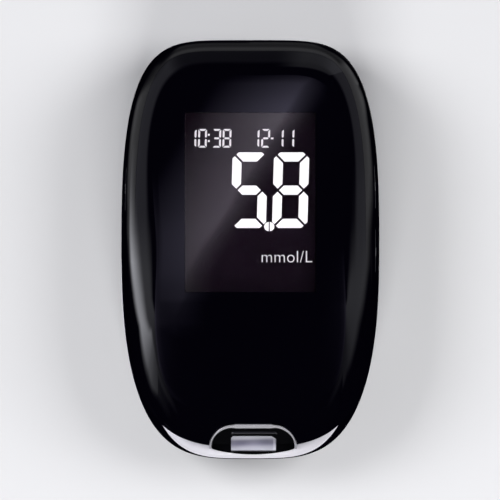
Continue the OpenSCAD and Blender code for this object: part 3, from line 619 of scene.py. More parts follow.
def back_cover():
    cover = back_form("back_shell", CASE_RIM, 0, 0, PART_Z)
    hollow = back_form("hollow", FRONT_RIM, BACK_WALL, BACK_WALL, PART_Z + 1, rows=8)
    kept = [centred("bay_wall", (0, BAY_Y), (BAY_W + 2 * BAY_WALL, BAY_L + 2 * BAY_WALL), 0,
                    HOLDER_Z)]
    kept += [post("boss", x, y, BOSS_D, 0, PART_Z) for x, y in SCREWS]
    kept += [post("rest", x, y, POST_D, 0, BOARD_Z, 32) for x, y in POSTS]
    carve(hollow, *kept)
    pocket = DOOR_SINK + DOOR_T + 0.05
    tools = [hollow,
             centred("bay", (0, BAY_Y), (BAY_W, BAY_L), -1, PART_Z),
             centred("pocket", (0, BAY_Y), (DOOR_W + 2 * FIT, DOOR_L + 2 * FIT), -1, pocket),
             block("latch", (-LATCH_W / 2 - FIT, LATCH_W / 2 + FIT),
                   (BAY_Y, BAY_Y + DOOR_L / 2 + LATCH_OUT + FIT), (-1, pocket)),
             crossbar("pegs", -DOOR_W / 2 - PEG_OUT - FIT, DOOR_W / 2 + PEG_OUT + FIT, AXIS_Y,
                      AXIS_Z, PEG_D + 0.1),
             block("chip_slot", (CHIP_X - CHIP_SLOT, CHIP_X + 1),
                   (-CHIP_Y - CHIP_W / 2 - FIT, -CHIP_Y + CHIP_W / 2 + FIT),
                   (CHIP_Z - FIT, CHIP_Z + CHIP_T + FIT))]
    for x, y in SCREWS:
        tools.append(post("bore", x, y, SCREW_D + 0.4, -1, PART_Z + 1))
        tools.append(post("head", x, y, HEAD_D + 2 * FIT, -1, SEAT_H))
    groove = side_trim_plan(0, FIT / 2)
    for plan in (groove, mirrored(groove)):
        tools.append(prism("groove", plan, TRIM_Z - FIT / 4, TRIM_Z + TRIM_H + FIT / 4))
    carve(cover, *tools)
    outwards(cover)
    tidy_faces(cover)
    paint_gloss(cover)
    return dress(cover, FINISH["black_shell"], "case", "black_shell", "back_cover")


front_cover()
back_cover()


# ---- Display ----

def display_window():
    """Smoked window, flush with the face, on its glued rim."""
    steps_x, steps_y = 24, 32
    half_w, half_l = (WINDOW_W - FIT) / 2, (WINDOW_L - FIT) / 2
    xs = [-half_w + 2 * half_w * i / steps_x for i in range(steps_x + 1)]
    ys = [WINDOW_Y - half_l + 2 * half_l * j / steps_y for j in range(steps_y + 1)]
    points = [(x, y, face_z(x, y) - 0.02) for y in ys for x in xs]
    count = steps_x + 1
    faces = [(j * count + i, j * count + i + 1, (j + 1) * count + i + 1, (j + 1) * count + i)
             for j in range(steps_y) for i in range(steps_x)]
    edge = (list(range(count))
            + [j * count + steps_x for j in range(1, steps_y + 1)]
            + [steps_y * count + i for i in range(steps_x - 1, -1, -1)]
            + [j * count for j in range(steps_y - 1, 0, -1)])
    base = SEAT_Z - FLANGE_T
    first = len(points)
    points += [(points[k][0], points[k][1], SEAT_Z) for k in edge]
    flange_w, flange_l = WINDOW_W / 2 + WINDOW_RIM, WINDOW_L / 2 + WINDOW_RIM
    n = len(edge)
    faces += [(edge[(k + 1) % n], edge[k], first + k, first + (k + 1) % n) for k in range(n)]
    widen = [(points[k][0] / half_w * flange_w,
              WINDOW_Y + (points[k][1] - WINDOW_Y) / half_l * flange_l)
             for k in edge]
    second = len(points)
    points += [(x, y, SEAT_Z) for x, y in widen]
    third = len(points)
    points += [(x, y, base) for x, y in widen]
    for a, b in ((first, second), (second, third)):
        faces += [(a + (k + 1) % n, a + k, b + k, b + (k + 1) % n) for k in range(n)]
    faces.append(tuple(third + k for k in reversed(range(n))))
    window = plain_object("smoked_lens", points, faces)
    tidy_faces(window)
    return dress(window, FINISH["smoked_window"], "case", "smoked_window", "display_window")


def clipped(outline, a, b, c):
    """The part of a convex outline where a x + b y >= c."""
    kept = []
    for k, p in enumerate(outline):
        q = outline[(k + 1) % len(outline)]
        dp, dq = a * p[0] + b * p[1] - c, a * q[0] + b * q[1] - c
        if dp >= 0:
            kept.append(p)
        if dp * dq < 0:
            u = dp / (dp - dq)
            kept.append((p[0] + (q[0] - p[0]) * u, p[1] + (q[1] - p[1]) * u))
    return kept


def digit_bars(w, h, t, gap, corner):
    """The seven bars of a digit, each as an outline in the digit's own box."""
    m, left, right = h / 2, t / 2, w - t / 2

    def bar(x, y, *cuts):
        shape = [(x[0], y[0]), (x[1], y[0]), (x[1], y[1]), (x[0], y[1])]
        for cut in cuts:
            shape = clipped(shape, *cut)
        return shape

    top = bar((0, w), (h - t, h), (1, 1, h + gap), (-1, 1, h - w + gap), (1, -1, corner - h),
              (-1, -1, corner - h - w))
    upper_left = bar((0, t), (m, h), (-1, -1, -h + gap), (1, -1, corner - h),
                     (-1, 1, m - left + gap), (1, 1, m + left + gap))
    middle = bar((0, w), (m - t / 2, m + t / 2), (1, 1, left + m + gap), (1, -1, left - m + gap),
                 (-1, 1, m - right + gap), (-1, -1, -m - right + gap))
    flip_x = lambda shape: [(w - x, y) for x, y in reversed(shape)]
    flip_y = lambda shape: [(x, h - y) for x, y in reversed(shape)]
    return {"a": top, "f": upper_left, "b": flip_x(upper_left), "g": middle, "d": flip_y(top),
            "e": flip_y(upper_left), "c": flip_x(flip_y(upper_left))}


LIT_BARS = {"0": "abcdef", "1": "bc", "2": "abged", "3": "abgcd", "4": "fgbc", "5": "afgcd",
            "6": "afgedc", "7": "abc", "8": "abcdefg", "9": "abcdfg"}


def digits(name, text, places, base, size, t, gap, corner, glow):
    """A row of lit digits, each at its own place, leaning slightly to the right."""
    w, h = size
    lean = tan(radians(1.6))
    points, faces = [], []
    bars = digit_bars(w, h, t, gap, corner)
    for character, x in zip(text, places):
        for letter in LIT_BARS[character]:
            shape = bars[letter]
            first, n = len(points), len(shape)
            for z in (LCD_TOP + 0.02, LCD_TOP + 0.06):
                points += [(x + px + lean * py, base + py, z) for px, py in shape]
            faces.append(tuple(first + k for k in reversed(range(n))))
            faces.append(tuple(first + n + k for k in range(n)))
            faces += [(first + k, first + (k + 1) % n, first + n + (k + 1) % n, first + n + k)
                      for k in range(n)]
    row = plain_object(name, points, faces)
    return dress(outwards(row), glow, "case", "lcd")


# millimetres a pixel of the photograph at the height of the display glass
DISPLAY_SCALE = 69 / 419 * (1 - (LCD_TOP - PART_Z) / 1200)


def pixel_x(px):
    return (px - 250.35) * DISPLAY_SCALE


def pixel_y(py):
    return (249.6 - py) * DISPLAY_SCALE


def flat_marks(name, glow, shapes):
    """Lit marks of any outline, a little above the display glass."""
    points, faces = [], []
    for shape in shapes:
        first, n = len(points), len(shape)
        for z in (LCD_TOP + 0.02, LCD_TOP + 0.06):
            points += [(x, y, z) for x, y in shape]
        faces.append(tuple(first + k for k in reversed(range(n))))
        faces.append(tuple(first + n + k for k in range(n)))
        faces += [(first + k, first + (k + 1) % n, first + n + (k + 1) % n, first + n + k)
                  for k in range(n)]
    return dress(outwards(plain_object(name, points, faces)), glow, "case", "lcd")


def rectangle(x0, y0, x1, y1):
    return [(x0, y0), (x1, y0), (x1, y1), (x0, y1)]


def half_disc(x, y, r, side, gap):
    turns = [radians(-90 + 180 * k / 16) for k in range(17)]
    shape = [(x + side * (gap + r * cos(a)), y + r * sin(a)) for a in turns]
    return shape if side > 0 else shape[::-1]


def unit_text():
    """The generic unit under the reading."""
    curve = bpy.data.curves.new("reading_unit", "FONT")
    curve.body = "mmol/L"
    curve.size, curve.space_character, curve.offset = 1.0, 1.04, -0.009
    piece = bpy.data.objects.new("reading_unit", curve)
    bpy.context.collection.objects.link(piece)
    settle_text = bpy.data.meshes.new_from_object(piece)
    bpy.data.objects.remove(piece)
    xs = [v.co.x for v in settle_text.vertices]
    ys = [v.co.y for v in settle_text.vertices]
    left, right = pixel_x(261.6), pixel_x(312)
    low, high = pixel_y(262.4), pixel_y(250.8)
    for v in settle_text.vertices:
        v.co.x = (left + (v.co.x - min(xs)) / (max(xs) - min(xs)) * (right - left)) * MM
        v.co.y = (low + (v.co.y - min(ys)) / (max(ys) - min(ys)) * (high - low)) * MM
        v.co.z = (LCD_TOP + 0.04) * MM
    unit = bpy.data.objects.new("reading_unit", settle_text)
    bpy.context.collection.objects.link(unit)
    thick = unit.modifiers.new("thickness", "SOLIDIFY")
    thick.thickness, thick.offset = 0.03 * MM, 0
    settle(unit)
    return dress(unit, LIT_UNIT, "case", "lcd")


display_window()
unit_text()
flat_marks("reading_point", LIT,
           [half_disc(pixel_x(269.2), pixel_y(226.6), 0.74, side, 0.09) for side in (-1, 1)])
flat_marks("time_colon", LIT_FINE,
           [rectangle(pixel_x(207.9), pixel_y(y + 1.0), pixel_x(209.8), pixel_y(y - 1.0))
            for y in (135, 141.2)])
flat_marks("date_dash", LIT_FINE,
           [rectangle(pixel_x(270.8), pixel_y(139.4), pixel_x(273.4), pixel_y(137.7))])
digits("reading_digits", "58", [pixel_x(230.6), pixel_x(271.9)], pixel_y(228), (5.76, 12.35), 1.5,
       0.25, 1.0, LIT)
digits("time_digits", "1038", [pixel_x(x) for x in (187.6, 198.0, 212.2, 222.4)], pixel_y(147.8),
       (1.42, 3.05), 0.31, 0.09, 0.2, LIT_FINE)
digits("date_digits", "1211", [pixel_x(x) for x in (250.4, 261.0, 274.6, 285.2)], pixel_y(147.8),
       (1.42, 3.05), 0.31, 0.09, 0.2, LIT_FINE)


# ---- Strip port and trim ----

def end_trim():
    crescent = []
    for k in range(13):
        a = pi / 2 * k / 12
        crescent.append(ring(shrunk(TRIM_RIM, TRIM_SHOULDER * (1 - cos(a))),
                             PART_Z + TRIM_EDGE_H + TRIM_RISE * sin(a)))
    trim = loft("end_trim_silver", [ring(TRIM_RIM, PART_Z)] + crescent)
    carve(trim, block("end", (-HALF_W, HALF_W), (-HALF_L - 1, ARCH_Y), (PART_Z - 1, CASE_H)),
          how="INTERSECT")
    inside = prism("inside",
                   [(r * cos(t), r * sin(t)) for r, t in zip(shrunk(FRONT_RIM, -FIT / 2), TURNS)],
                   PART_Z - 1, CASE_H)
    carve(inside, prism("notch", arch_plan(0, 0), PART_Z - 2, CASE_H + 1))
    carve(trim, inside, prism("mouth", port_plan(0), PART_Z - 2, CASE_H + 1))
    outwards(trim)
    tidy_faces(trim)
    dress(trim, FINISH["silver_trim"], "case", "silver_trim", "end_trim")
    # the bead wears the darker copy of the silver, which is painted shade
    dress(arch_bead(), FINISH["silver_bead"], "case", "silver_trim", "end_trim")


def arch_bead():
    """The rounded silver bead over the port, from foot to foot along the arch."""
    fine = list(zip(arch_half(0.16, 0.09, 40), arch_half(BAND_TOP - 0.08, BAND_SIDE - 0.07, 40)))
    fine.append(((ARCH_FOOT, ARCH_LOW - 0.35), (ARCH_FOOT - BAND_SIDE, ARCH_LOW - 0.35)))
    across = [(-o[0], o[1], -i[0], i[1]) for o, i in reversed(fine)]
    steps = 12
    middle = [((-ARCH_FLAT + 2 * ARCH_FLAT * k / steps), ARCH_Y,
               (-ARCH_FLAT + 2 * ARCH_FLAT * k / steps), ARCH_Y - BAND_TOP)
              for k in range(1, steps)]
    across += middle + [(o[0], o[1], i[0], i[1]) for o, i in fine]
    rows = 8
    rings = []
    for xo, yo, xi, yi in across:
        section = [(PORT_X + xo, yo, PART_Z + 0.2)]
        for k in range(rows + 1):
            u = k / rows
            x, y = PORT_X + xo + (xi - xo) * u, yo + (yi - yo) * u
            round_off = math.sqrt(max(0.0, 1 - (2 * u - 1) ** 2))
            top = max(front_z(x, y), PART_Z + TRIM_EDGE_H + TRIM_RISE)
            section.append((x, y, top + TRIM_PROUD - 0.36 + 0.36 * round_off))
        section.append((PORT_X + xi, yi, PART_Z + 0.2))
        rings.append(section)
    bead = loft("arch_bead", rings)
    outwards(bead)
    return tidy_faces(bead, 50)


def port_insert():
    base = prism("port_funnel", port_plan(FIT / 2), PART_Z, CASE_H)
    surface = front_form("surface", INSERT_SINK, INSERT_SINK, PART_Z - 0.001, rows=16, face_rows=8)
    carve(base, surface, how="INTERSECT")
    carve(base, prism("apron", port_plan(FIT / 2), PART_Z, STRIP_Z), how="UNION")
    side = SLOT_W / 2 + 1.4
    carve(base, block("duct", (PORT_X - side, PORT_X + side), (ARCH_Y - BAND_TOP - 0.4, DUCT_Y),
                      (PART_Z, STRIP_Z + SLOT_H + 0.7)), how="UNION")
    left, right = GUIDE_X[0] - 0.04, GUIDE_X[1] + 0.04
    floor_z = STRIP_Z - GUIDE_T
    opening = [(left, GUIDE_Y - 0.06), (right, GUIDE_Y - 0.06), (right, HOOD_Y - 0.5),
               (right - 0.8, HOOD_Y),
               (left + 0.35, HOOD_Y), (left, HOOD_Y - 0.35)]
    carve(base, prism("mouth", opening, floor_z, CASE_H),
          block("throat", (left, right), (HOOD_Y - 1, DUCT_Y + 1), (floor_z, STRIP_Z + SLOT_H)))
    outwards(base)
    tidy_faces(base)
    dress(base, FINISH["port_black"], "case", "port_black", "port_insert")
    # the rib wears a lightened copy of the port's black, which is a painted highlight
    dress(hood_rib(), FINISH["shell_rib"], "case", "port_black", "port_insert")


def hood_rib():
    """Rounded rib on the edge that the strip goes under, turned down at both ends."""
    low, high, turn = GUIDE_X[0] + 0.02, GUIDE_X[1] + 0.2, 0.42
    path = [(low + turn - turn * cos(a), RIB_Y - turn + turn * sin(a))
            for a in (pi / 2 * k / 6 for k in range(7))]
    path += [(low + turn + (high - low - 2 * turn) * k / 12, RIB_Y) for k in range(1, 12)]
    path += [(high - turn + turn * sin(a), RIB_Y - turn + turn * cos(a))
             for a in (pi / 2 * k / 6 for k in range(7))]
    rings = []
    for k, (x, y) in enumerate(path):
        before, after = path[max(0, k - 1)], path[min(len(path) - 1, k + 1)]
        way = math.atan2(after[1] - before[1], after[0] - before[0])
        r = RIB_R * (0.25 + 0.75 * ease(min(k, len(path) - 1 - k) / 5))
        z = front_z(x, y) - INSERT_SINK - 0.04
        rings.append([(x - r * cos(b) * sin(way), y + r * cos(b) * cos(way), z + r * sin(b))
                      for b in (2 * pi * j / 16 for j in range(16))])
    rib = loft("hood_rib", rings)
    outwards(rib)
    return tidy_faces(rib, 60)


def guide_finish():
    """Grey moulding whose tone is painted light and shade, read from the plate's polish mask:
    darker across its shallow channel, lighter towards both ends and along its right.
    """
    material = finish("guide_grey", (0.2, 0.195, 0.265), (0.72, 0.72, 0.79), rough=(0.2, 0.28),
                      metallic=0.25)
    nodes, links = material.node_tree.nodes, material.node_tree.links
    shader = nodes["Principled BSDF"]
    tone = shader.inputs["Base Color"].links[0].from_node
    # the tone follows a mask of painted light and shade
    depth = nodes.new("ShaderNodeAttribute")
    depth.attribute_name = "polish"
    links.new(depth.outputs["Fac"], tone.inputs["Factor"])
    return material


def strip_guide():
    """The plate that the strip slides in on: a shallow channel, with a strip of painted highlight
    along its right.
    """
    steps_x, steps_y = 40, 56
    xs = [GUIDE_X[0] + (GUIDE_X[1] - GUIDE_X[0]) * i / steps_x for i in range(steps_x + 1)]
    ys = [GUIDE_Y + (DUCT_Y - GUIDE_Y) * j / steps_y for j in range(steps_y + 1)]

    def top(x, y):
        edge = 1 - ease((y - GUIDE_Y) / 0.3)
        return STRIP_Z - 0.12 * math.exp(-((y + 31.6) / 0.55) ** 2) - 0.25 * edge

    count = steps_x + 1
    points = ([(x, y, top(x, y)) for y in ys for x in xs] + [(x, y, STRIP_Z - GUIDE_T) for y in ys
                                                             for x in xs])
    under = count * (steps_y + 1)
    faces = []
    for j in range(steps_y):
        for i in range(steps_x):
            a, b, c, d = (j * count + i, j * count + i + 1, (j + 1) * count + i + 1,
                          (j + 1) * count + i)
            faces += [(a, b, c, d), (under + d, under + c, under + b, under + a)]
    edge = ([i for i in range(count)] + [j * count + steps_x for j in range(1, steps_y + 1)]
            + [steps_y * count + i for i in range(steps_x - 1, -1, -1)]
            + [j * count for j in range(steps_y - 1, 0, -1)])
    n = len(edge)
    faces += [(edge[(k + 1) % n], edge[k], under + edge[k], under + edge[(k + 1) % n])
              for k in range(n)]
    plate = plain_object("guide_plate", points, faces)
    outwards(plate)
    tidy_faces(plate, 40)
    # painted light and shade for the plate's tone: dark across the channel, light towards the front
    # end, and lightest towards the hood, where painted light covers the hood's shade
    polish = plate.data.attributes.new("polish", "FLOAT", "POINT")
    for i, vertex in enumerate(plate.data.vertices):
        x, y, z = vertex.co / MM
        way = y - 0.03 * (x - 0.5)
        level = 0.1 + 0.4 * ease((-31.85 - way) / 0.75) + 0.9 * ease((way + 31.5) / 0.6)
        level += 0.05 * sin(1.7 * x + 0.6) * math.exp(-((way + 31.7) / 0.6) ** 2)
        # painted highlight along the plate's right
        level += (0.9 - level) * 0.7 * ease((x - 3.65) / 0.25) * (1 - ease((x - 4.05) / 0.15))
        polish.data[i].value = max(0.0, min(1.0, level))
    return dress(plate, guide_finish(), "case", "guide_grey", "strip_guide")


end_trim()
port_insert()
strip_guide()


# ---- Trim strips of the sides ----

def side_trims():
    """The left strip stands a little proud of the rim, the right one lies flush with it."""
    strips = [prism("side_strips", side_trim_plan(0.08, 0), TRIM_Z, TRIM_Z + TRIM_H),
              prism("right", mirrored(side_trim_plan(0, 0)), TRIM_Z, TRIM_Z + TRIM_H)]
    for strip in strips:
        edges = strip.modifiers.new("edges", "BEVEL")
        edges.width, edges.segments, edges.limit_method = 0.16 * MM, 3, "ANGLE"
        edges.angle_limit = radians(60)
        settle(strip)
    carve(strips[0], strips[1], how="UNION")
    outwards(strips[0])
    tidy_faces(strips[0], 50)
    return dress(strips[0], FINISH["silver_trim"], "case", "silver_trim", "side_trims")


side_trims()


# ---- Pieces that keep their solid, with softened edges ----

def softened(node, body, slot, width, segments=2, angle=30):
    """A copy of a node's solid with small rounded edges."""
    source = frame["nodes"][node]
    piece = bpy.data.objects.new(node + "_soft", source.data.copy())
    bpy.context.collection.objects.link(piece)
    work = bmesh.new()
    work.from_mesh(piece.data)
    bmesh.ops.remove_doubles(work, verts=work.verts, dist=1e-7)
    bmesh.ops.dissolve_limit(work, angle_limit=radians(1), verts=work.verts, edges=work.edges)
    work.to_mesh(piece.data)
    work.free()
    edges = piece.modifiers.new("edges", "BEVEL")
    edges.width, edges.segments, edges.limit_method = width * MM, segments, "ANGLE"
    edges.angle_limit = radians(angle)
    edges.use_clamp_overlap = True
    settle(piece)
    tidy_faces(piece, 40)
    return dress(piece, FINISH[slot], body, slot, node)


BODY_OF = {node: body for body,
           nodes in frame["record"]["behaviour"]["bodies"].items() for node in nodes}
SLOT_OF = {part["node"]: part["material_slot"] for part in frame["record"]["subparts"]}
for node, width, segments in (
        ("left_arrow_button", 0.2, 3), ("right_arrow_button", 0.2, 3), ("power_button", 0.2, 3),
        ("left_arrow_plunger", 0.15, 2), ("right_arrow_plunger", 0.15, 2),
    ("power_plunger", 0.15, 2),
        ("infrared_window", 0.22, 3), ("battery_door", 0.16, 3), ("code_chip", 0.2, 3),
    ("code_chip_socket", 0.12, 2),
        ("strip_connector", 0.15, 2), ("battery_holder", 0.15, 2), ("board_chips", 0.1, 2),
    ("switch_bodies", 0.15, 2),
        ("buzzer", 0.2, 3), ("display_frame", 0.12, 2), ("backlight_plate", 0.15, 2),
    ("lcd_glass", 0.05, 2),
        ("case_screws", 0.12, 2), ("infrared_leds", 0.12, 2), ("clock_crystal", 0.25, 3),
    ("capacitors", 0.06, 1),
        ("main_board", 0.06, 1), ("positive_contact", 0.05, 1), ("negative_contact", 0.05, 1),
    ("cell_bridge", 0.05, 1),
        ("top_coin_cell", 0.12, 2), ("bottom_coin_cell", 0.12, 2)):
    piece = softened(node, BODY_OF[node], SLOT_OF[node], width, segments)
    if node == "battery_door":
        piece.data.materials[0] = FINISH["door_satin"]


# ---- Small things that repeat ----

def rows_of_pieces():
    """Repeats a small piece: Count of them a Step apart from Start, in Rows a Row Step apart."""
    tree = bpy.data.node_groups.new("rows_of_pieces", "GeometryNodeTree")
    tree.interface.new_socket("Geometry", in_out="INPUT", socket_type="NodeSocketGeometry")
    for name, kind in (("Piece", "Object"), ("Count", "Int"), ("Step", "Vector"), ("Rows", "Int"),
                       ("Row Step", "Vector"), ("Start", "Vector"), ("Finish", "Material")):
        tree.interface.new_socket(name, in_out="INPUT", socket_type="NodeSocket" + kind)
    tree.interface.new_socket("Geometry", in_out="OUTPUT", socket_type="NodeSocketGeometry")
    nodes, links = tree.nodes, tree.links
    start, end = nodes.new("NodeGroupInput"), nodes.new("NodeGroupOutput")
    row, rows = nodes.new("GeometryNodeMeshLine"), nodes.new("GeometryNodeMeshLine")
    for line, count, step in ((row, "Count", "Step"), (rows, "Rows", "Row Step")):
        line.mode = "OFFSET"
        links.new(start.outputs[count], line.inputs["Count"])
        links.new(start.outputs[step], line.inputs["Offset"])
    links.new(start.outputs["Start"], row.inputs["Start Location"])
    grid, place = (nodes.new("GeometryNodeInstanceOnPoints"),
                   nodes.new("GeometryNodeInstanceOnPoints"))
    points, solid = (nodes.new("GeometryNodeRealizeInstances"),
                     nodes.new("GeometryNodeRealizeInstances"))
    piece, paint = nodes.new("GeometryNodeObjectInfo"), nodes.new("GeometryNodeSetMaterial")
    links.new(rows.outputs["Mesh"], grid.inputs["Points"])
    links.new(row.outputs["Mesh"], grid.inputs["Instance"])
    links.new(grid.outputs["Instances"], points.inputs["Geometry"])
    links.new(points.outputs["Geometry"], place.inputs["Points"])
    links.new(start.outputs["Piece"], piece.inputs["Object"])
    links.new(piece.outputs["Geometry"], place.inputs["Instance"])
    links.new(place.outputs["Instances"], solid.inputs["Geometry"])
    links.new(solid.outputs["Geometry"], paint.inputs["Geometry"])
    links.new(start.outputs["Finish"], paint.inputs["Material"])
    links.new(paint.outputs["Geometry"], end.inputs["Geometry"])
    return tree


ROWS = rows_of_pieces()


def repeated(name, piece, body, slot, start, count=1, step=(0, 0, 0), rows=1, row_step=(0, 0, 0)):
    """A piece repeated by the rows_of_pieces tree, as one plain mesh."""
    whole = bpy.data.objects.new(name, bpy.data.meshes.new(name))
    bpy.context.collection.objects.link(whole)
    tree = whole.modifiers.new("rows", "NODES")
    tree.node_group = ROWS
    key = {item.name: item.identifier for item in ROWS.interface.items_tree
           if item.in_out == "INPUT"}
    tree[key["Piece"]], tree[key["Finish"]] = piece, FINISH[slot]
    tree[key["Count"]], tree[key["Rows"]] = count, rows
    for socket, value in (("Step", step), ("Row Step", row_step), ("Start", start)):
        tree[key[socket]] = [number * MM for number in value]
    settle(whole)
    bpy.data.objects.remove(piece)
    outwards(whole)
    tidy_faces(whole, 40)
    return dress(whole, FINISH[slot], body, slot)


def rounded_block(name, x, y, z, r):
    piece = block(name, x, y, z)
    edges = piece.modifiers.new("edges", "BEVEL")
    edges.width, edges.segments, edges.limit_method = r * MM, 2, "ANGLE"
    return settle(piece)


def chip_lead(turn):
    """A bent lead of a chip, from its side down to the board, turned to face a side."""
    profile = [(0.0, 0.55), (0.25, 0.55), (0.4, 0.12), (0.7, 0.12), (0.7, 0.0), (0.3, 0.0),
               (0.16, 0.43), (0.0, 0.43)]
    c, s = cos(radians(turn)), sin(radians(turn))
    return loft("lead", [[(x * c - y * s, x * s + y * c, z) for x, z in profile]
                         for y in (-0.14, 0.14)])


BOARD_TOP = 8.8
for place, (x, y, w, l) in enumerate(((0, 11.75, 10, 10), (5.5, -0.25, 6, 5), (9.5, -14.75, 5, 4))):
    for side in (0, 180):
        out = x + (w / 2 - 0.06) * cos(radians(side))
        count = int(l / 0.8)
        repeated(f"chip_{place}_leads_{side}", chip_lead(side), "case", "bright_steel",
                 (out, y - 0.4 * (count - 1), BOARD_TOP), count, (0, 0.8, 0))
for place, x in (("inner", 5.78), ("outer", 6.76)):
    repeated("capacitor_ends_" + place,
             rounded_block("end", (0, 0.26), (-0.02, 0.82), (0, 0.82), 0.05), "case",
             "bright_steel", (x, 9.95, BOARD_TOP), 2, (1.8, 0, 0), 3, (0, 1.8, 0))
repeated("code_chip_ribs", rounded_block("rib", (-0.4, 0.2), (-0.24, 0.24), (-0.8, 0.8), 0.1),
         "chip", "chip_white",
         (19.97, -15.4, CHIP_Z + CHIP_T / 2), 5, (0.1275, 1.2, 0))


# ---- Raised marks on the buttons ----

def button_face(y):
    """Distance from the middle to the outside of a side button, whose cap follows the rim."""
    turn, r = 0.0, HALF_W
    for _ in range(6):
        turn = math.asin(y / r)
        r = reach(turn, HALF_W, HALF_L, CASE_CURVE) - SIDE_STEP + BUTTON_PROUD
    return r * cos(turn)


def button_mark(name, button, outline):
    side, middle = BUTTONS[button]
    rings = [[(side * (button_face(middle + y) + out), middle + y, BUTTON_Z + z) for y,
              z in outline]
             for out in (-0.12, 0.05)]
    mark = loft(name, rings)
    outwards(mark)
    tidy_faces(mark, 30)
    return dress(mark, FINISH["mark_grey"], button, "silver_trim")


def power_ring(r, t, gap, steps=40):
    turns = [radians(90 + gap + (360 - 2 * gap) * k / steps) for k in range(steps + 1)]
    return [((r + d) * cos(a), (r + d) * sin(a)) for d,
            way in ((t / 2, 1), (-t / 2, -1)) for a in turns[::way]]


button_mark("left_arrow_mark", "left_arrow", [(-0.85, 0), (0.55, 0.72), (0.55, -0.72)])
button_mark("right_arrow_mark", "right_arrow", [(0.85, 0), (-0.55, -0.72), (-0.55, 0.72)])
button_mark("power_mark_ring", "power", power_ring(0.7, 0.2, 34))
button_mark("power_mark_bar", "power", [(-0.1, 0.2), (0.1, 0.2), (0.1, 0.9), (-0.1, 0.9)])


# ---- Studio ----

def staged(name, points, faces, material):
    panel = plain_object(name, points, faces)
    panel.data.materials.append(material)
    return panel


def glow_card(name, corner, across, up, glow, steps=48, colour=(0.96, 0.97, 1.05)):
    """A soft reflector that only gloss sees, whose glow is given over its two sides, 0 to 1."""
    corner, across, up = Vector(corner), Vector(across), Vector(up)
    count = steps + 1
    shares = [(i / steps, j / steps) for j in range(count) for i in range(count)]
    faces = [(j * count + i, j * count + i + 1, (j + 1) * count + i + 1, (j + 1) * count + i)
             for j in range(steps) for i in range(steps)]
    material, shader = new_material(name)
    nodes, links = material.node_tree.nodes, material.node_tree.links
    level, shade = nodes.new("ShaderNodeAttribute"), nodes.new("ShaderNodeAttribute")
    level.attribute_name, shade.attribute_name = "glow", "shade"
    emission, dark = nodes.new("ShaderNodeEmission"), nodes.new("ShaderNodeEmission")
    emission.inputs["Color"].default_value = (*colour, 1)
    dark.inputs["Strength"].default_value = 0.0
    links.new(level.outputs["Fac"], emission.inputs["Strength"])
    nodes.remove(shader)
    # the room shows through where the card is clear, so that its outline never shows
    clear, screen, both = (nodes.new("ShaderNode" + kind)
                           for kind in ("BsdfTransparent", "MixShader", "AddShader"))
    links.new(shade.outputs["Fac"], screen.inputs[0])
    links.new(clear.outputs[0], screen.inputs[1])
    links.new(dark.outputs[0], screen.inputs[2])
    links.new(screen.outputs[0], both.inputs[0])
    links.new(emission.outputs[0], both.inputs[1])
    links.new(both.outputs[0], nodes["Material Output"].inputs["Surface"])
    card = staged(name, [corner + across * u + up * v for u, v in shares], faces, material)
    for kind, part in (("glow", 0), ("shade", 1)):
        attribute = card.data.attributes.new(kind, "FLOAT", "POINT")
        for i, (u, v) in enumerate(shares):
            attribute.data[i].value = glow(*(corner + across * u + up * v))[part]
    card.visible_camera = card.visible_diffuse = card.visible_shadow = False
    card.visible_transmission = False
    return card


def along(y, *marks):
    """A value that runs straight between marks, each a place along the case and a value."""
    if y <= marks[0][0]:
        return marks[0][1]
    for (y0, v0), (y1, v1) in zip(marks, marks[1:]):
        if y <= y1:
            return v0 + (v1 - v0) * (y - y0) / (y1 - y0)
    return marks[-1][1]


def left_glow(x, y, z):
    """Window light low on the left, brightest beside the middle, over a dimmer tall wall."""
    shade = ease((6 - y) / 10) * ease((y + 105) / 15)
    low = along(y, (-75, 36), (-57, 26), (-44, 26), (-33, 24), (-19, 23), (-8, 13), (-2, 4), (3, 0))
    top = along(y, (-57, 96), (-44, 84), (-33, 77), (-26, 55), (-19, 43), (-8, 34), (-2, 24),
                (3, 15), (12, 5))
    peak = along(y, (-130, 0.0), (-88, 0.15), (-75, 0.3), (-57, 0.75), (-44, 1.6), (-33, 3.7),
                 (-19, 7.5), (-8, 6.9), (-2, 7.0), (3, 3.8), (8, 2.2), (14, 1.2), (22, 0.0))
    wall = along(y, (-180, 0.0), (-110, 0.3), (-57, 0.55), (-44, 0.75), (-33, 0.95), (-19, 1.15),
                 (4, 1.3))
    rise = along(y, (-44, 20), (-33, 16), (-19, 10), (-8, 14), (3, 16))
    window = ease((z - low + rise / 2) / rise) * (1 - ease((z - top + 13) / 26))
    back = (ease((z - low + 2) / 8)
            * (1 - ease((z - along(y, (-57, 200), (-33, 175), (-19, 122), (-8, 88), (4, 58)) + 22)
                        / 44)))
    back *= ease((z - 60) / 30) if y < -75 else 1.0
    return peak * window + ease((6 - y) / 10) * wall * back, shade


def right_glow(x, y, z):
    """A tall dimmer wall on the right, which starts higher up towards the strip end."""
    shade = ease((6 - y) / 12) * ease((y + 105) / 15)
    low = along(y, (-57, 50), (-44, 42), (-33, 37), (-19, 30), (-8, 19), (-2, 10), (3, 3))
    top = along(y, (-33, 210), (-19, 160), (-8, 108), (-2, 68), (3, 52))
    band = ease((z - low + 9) / 18) * (1 - ease((z - top + 24) / 48))
    level = along(y, (-160, 0.0), (-110, 0.12), (-57, 0.3), (-44, 0.5), (-33, 0.7), (-19, 0.9),
                  (-8, 1.0), (3, 0.95))
    band *= ease((z - 60) / 30) if y < -75 else 1.0
    near = ease((6 - y) / 12)
    return near * level * band + (1 - near) * 0.14 * ease((18 - y) / 12) * band, shade


def top_glow(x, y, z):
    """A dim panel beyond the top end, with a pale strip on its right."""
    shade = (along(z, (1, 0.0), (5, 0.3), (8, 0.6), (13, 0.75), (14.2, 0.6),
                   (15.5, 0.0)) * ease((27 - abs(x)) / 5))
    return 0.45 * ease((x - 4) / 7) * ease((z - 14) / 6) * (1 - ease((z - 40) / 14)), shade


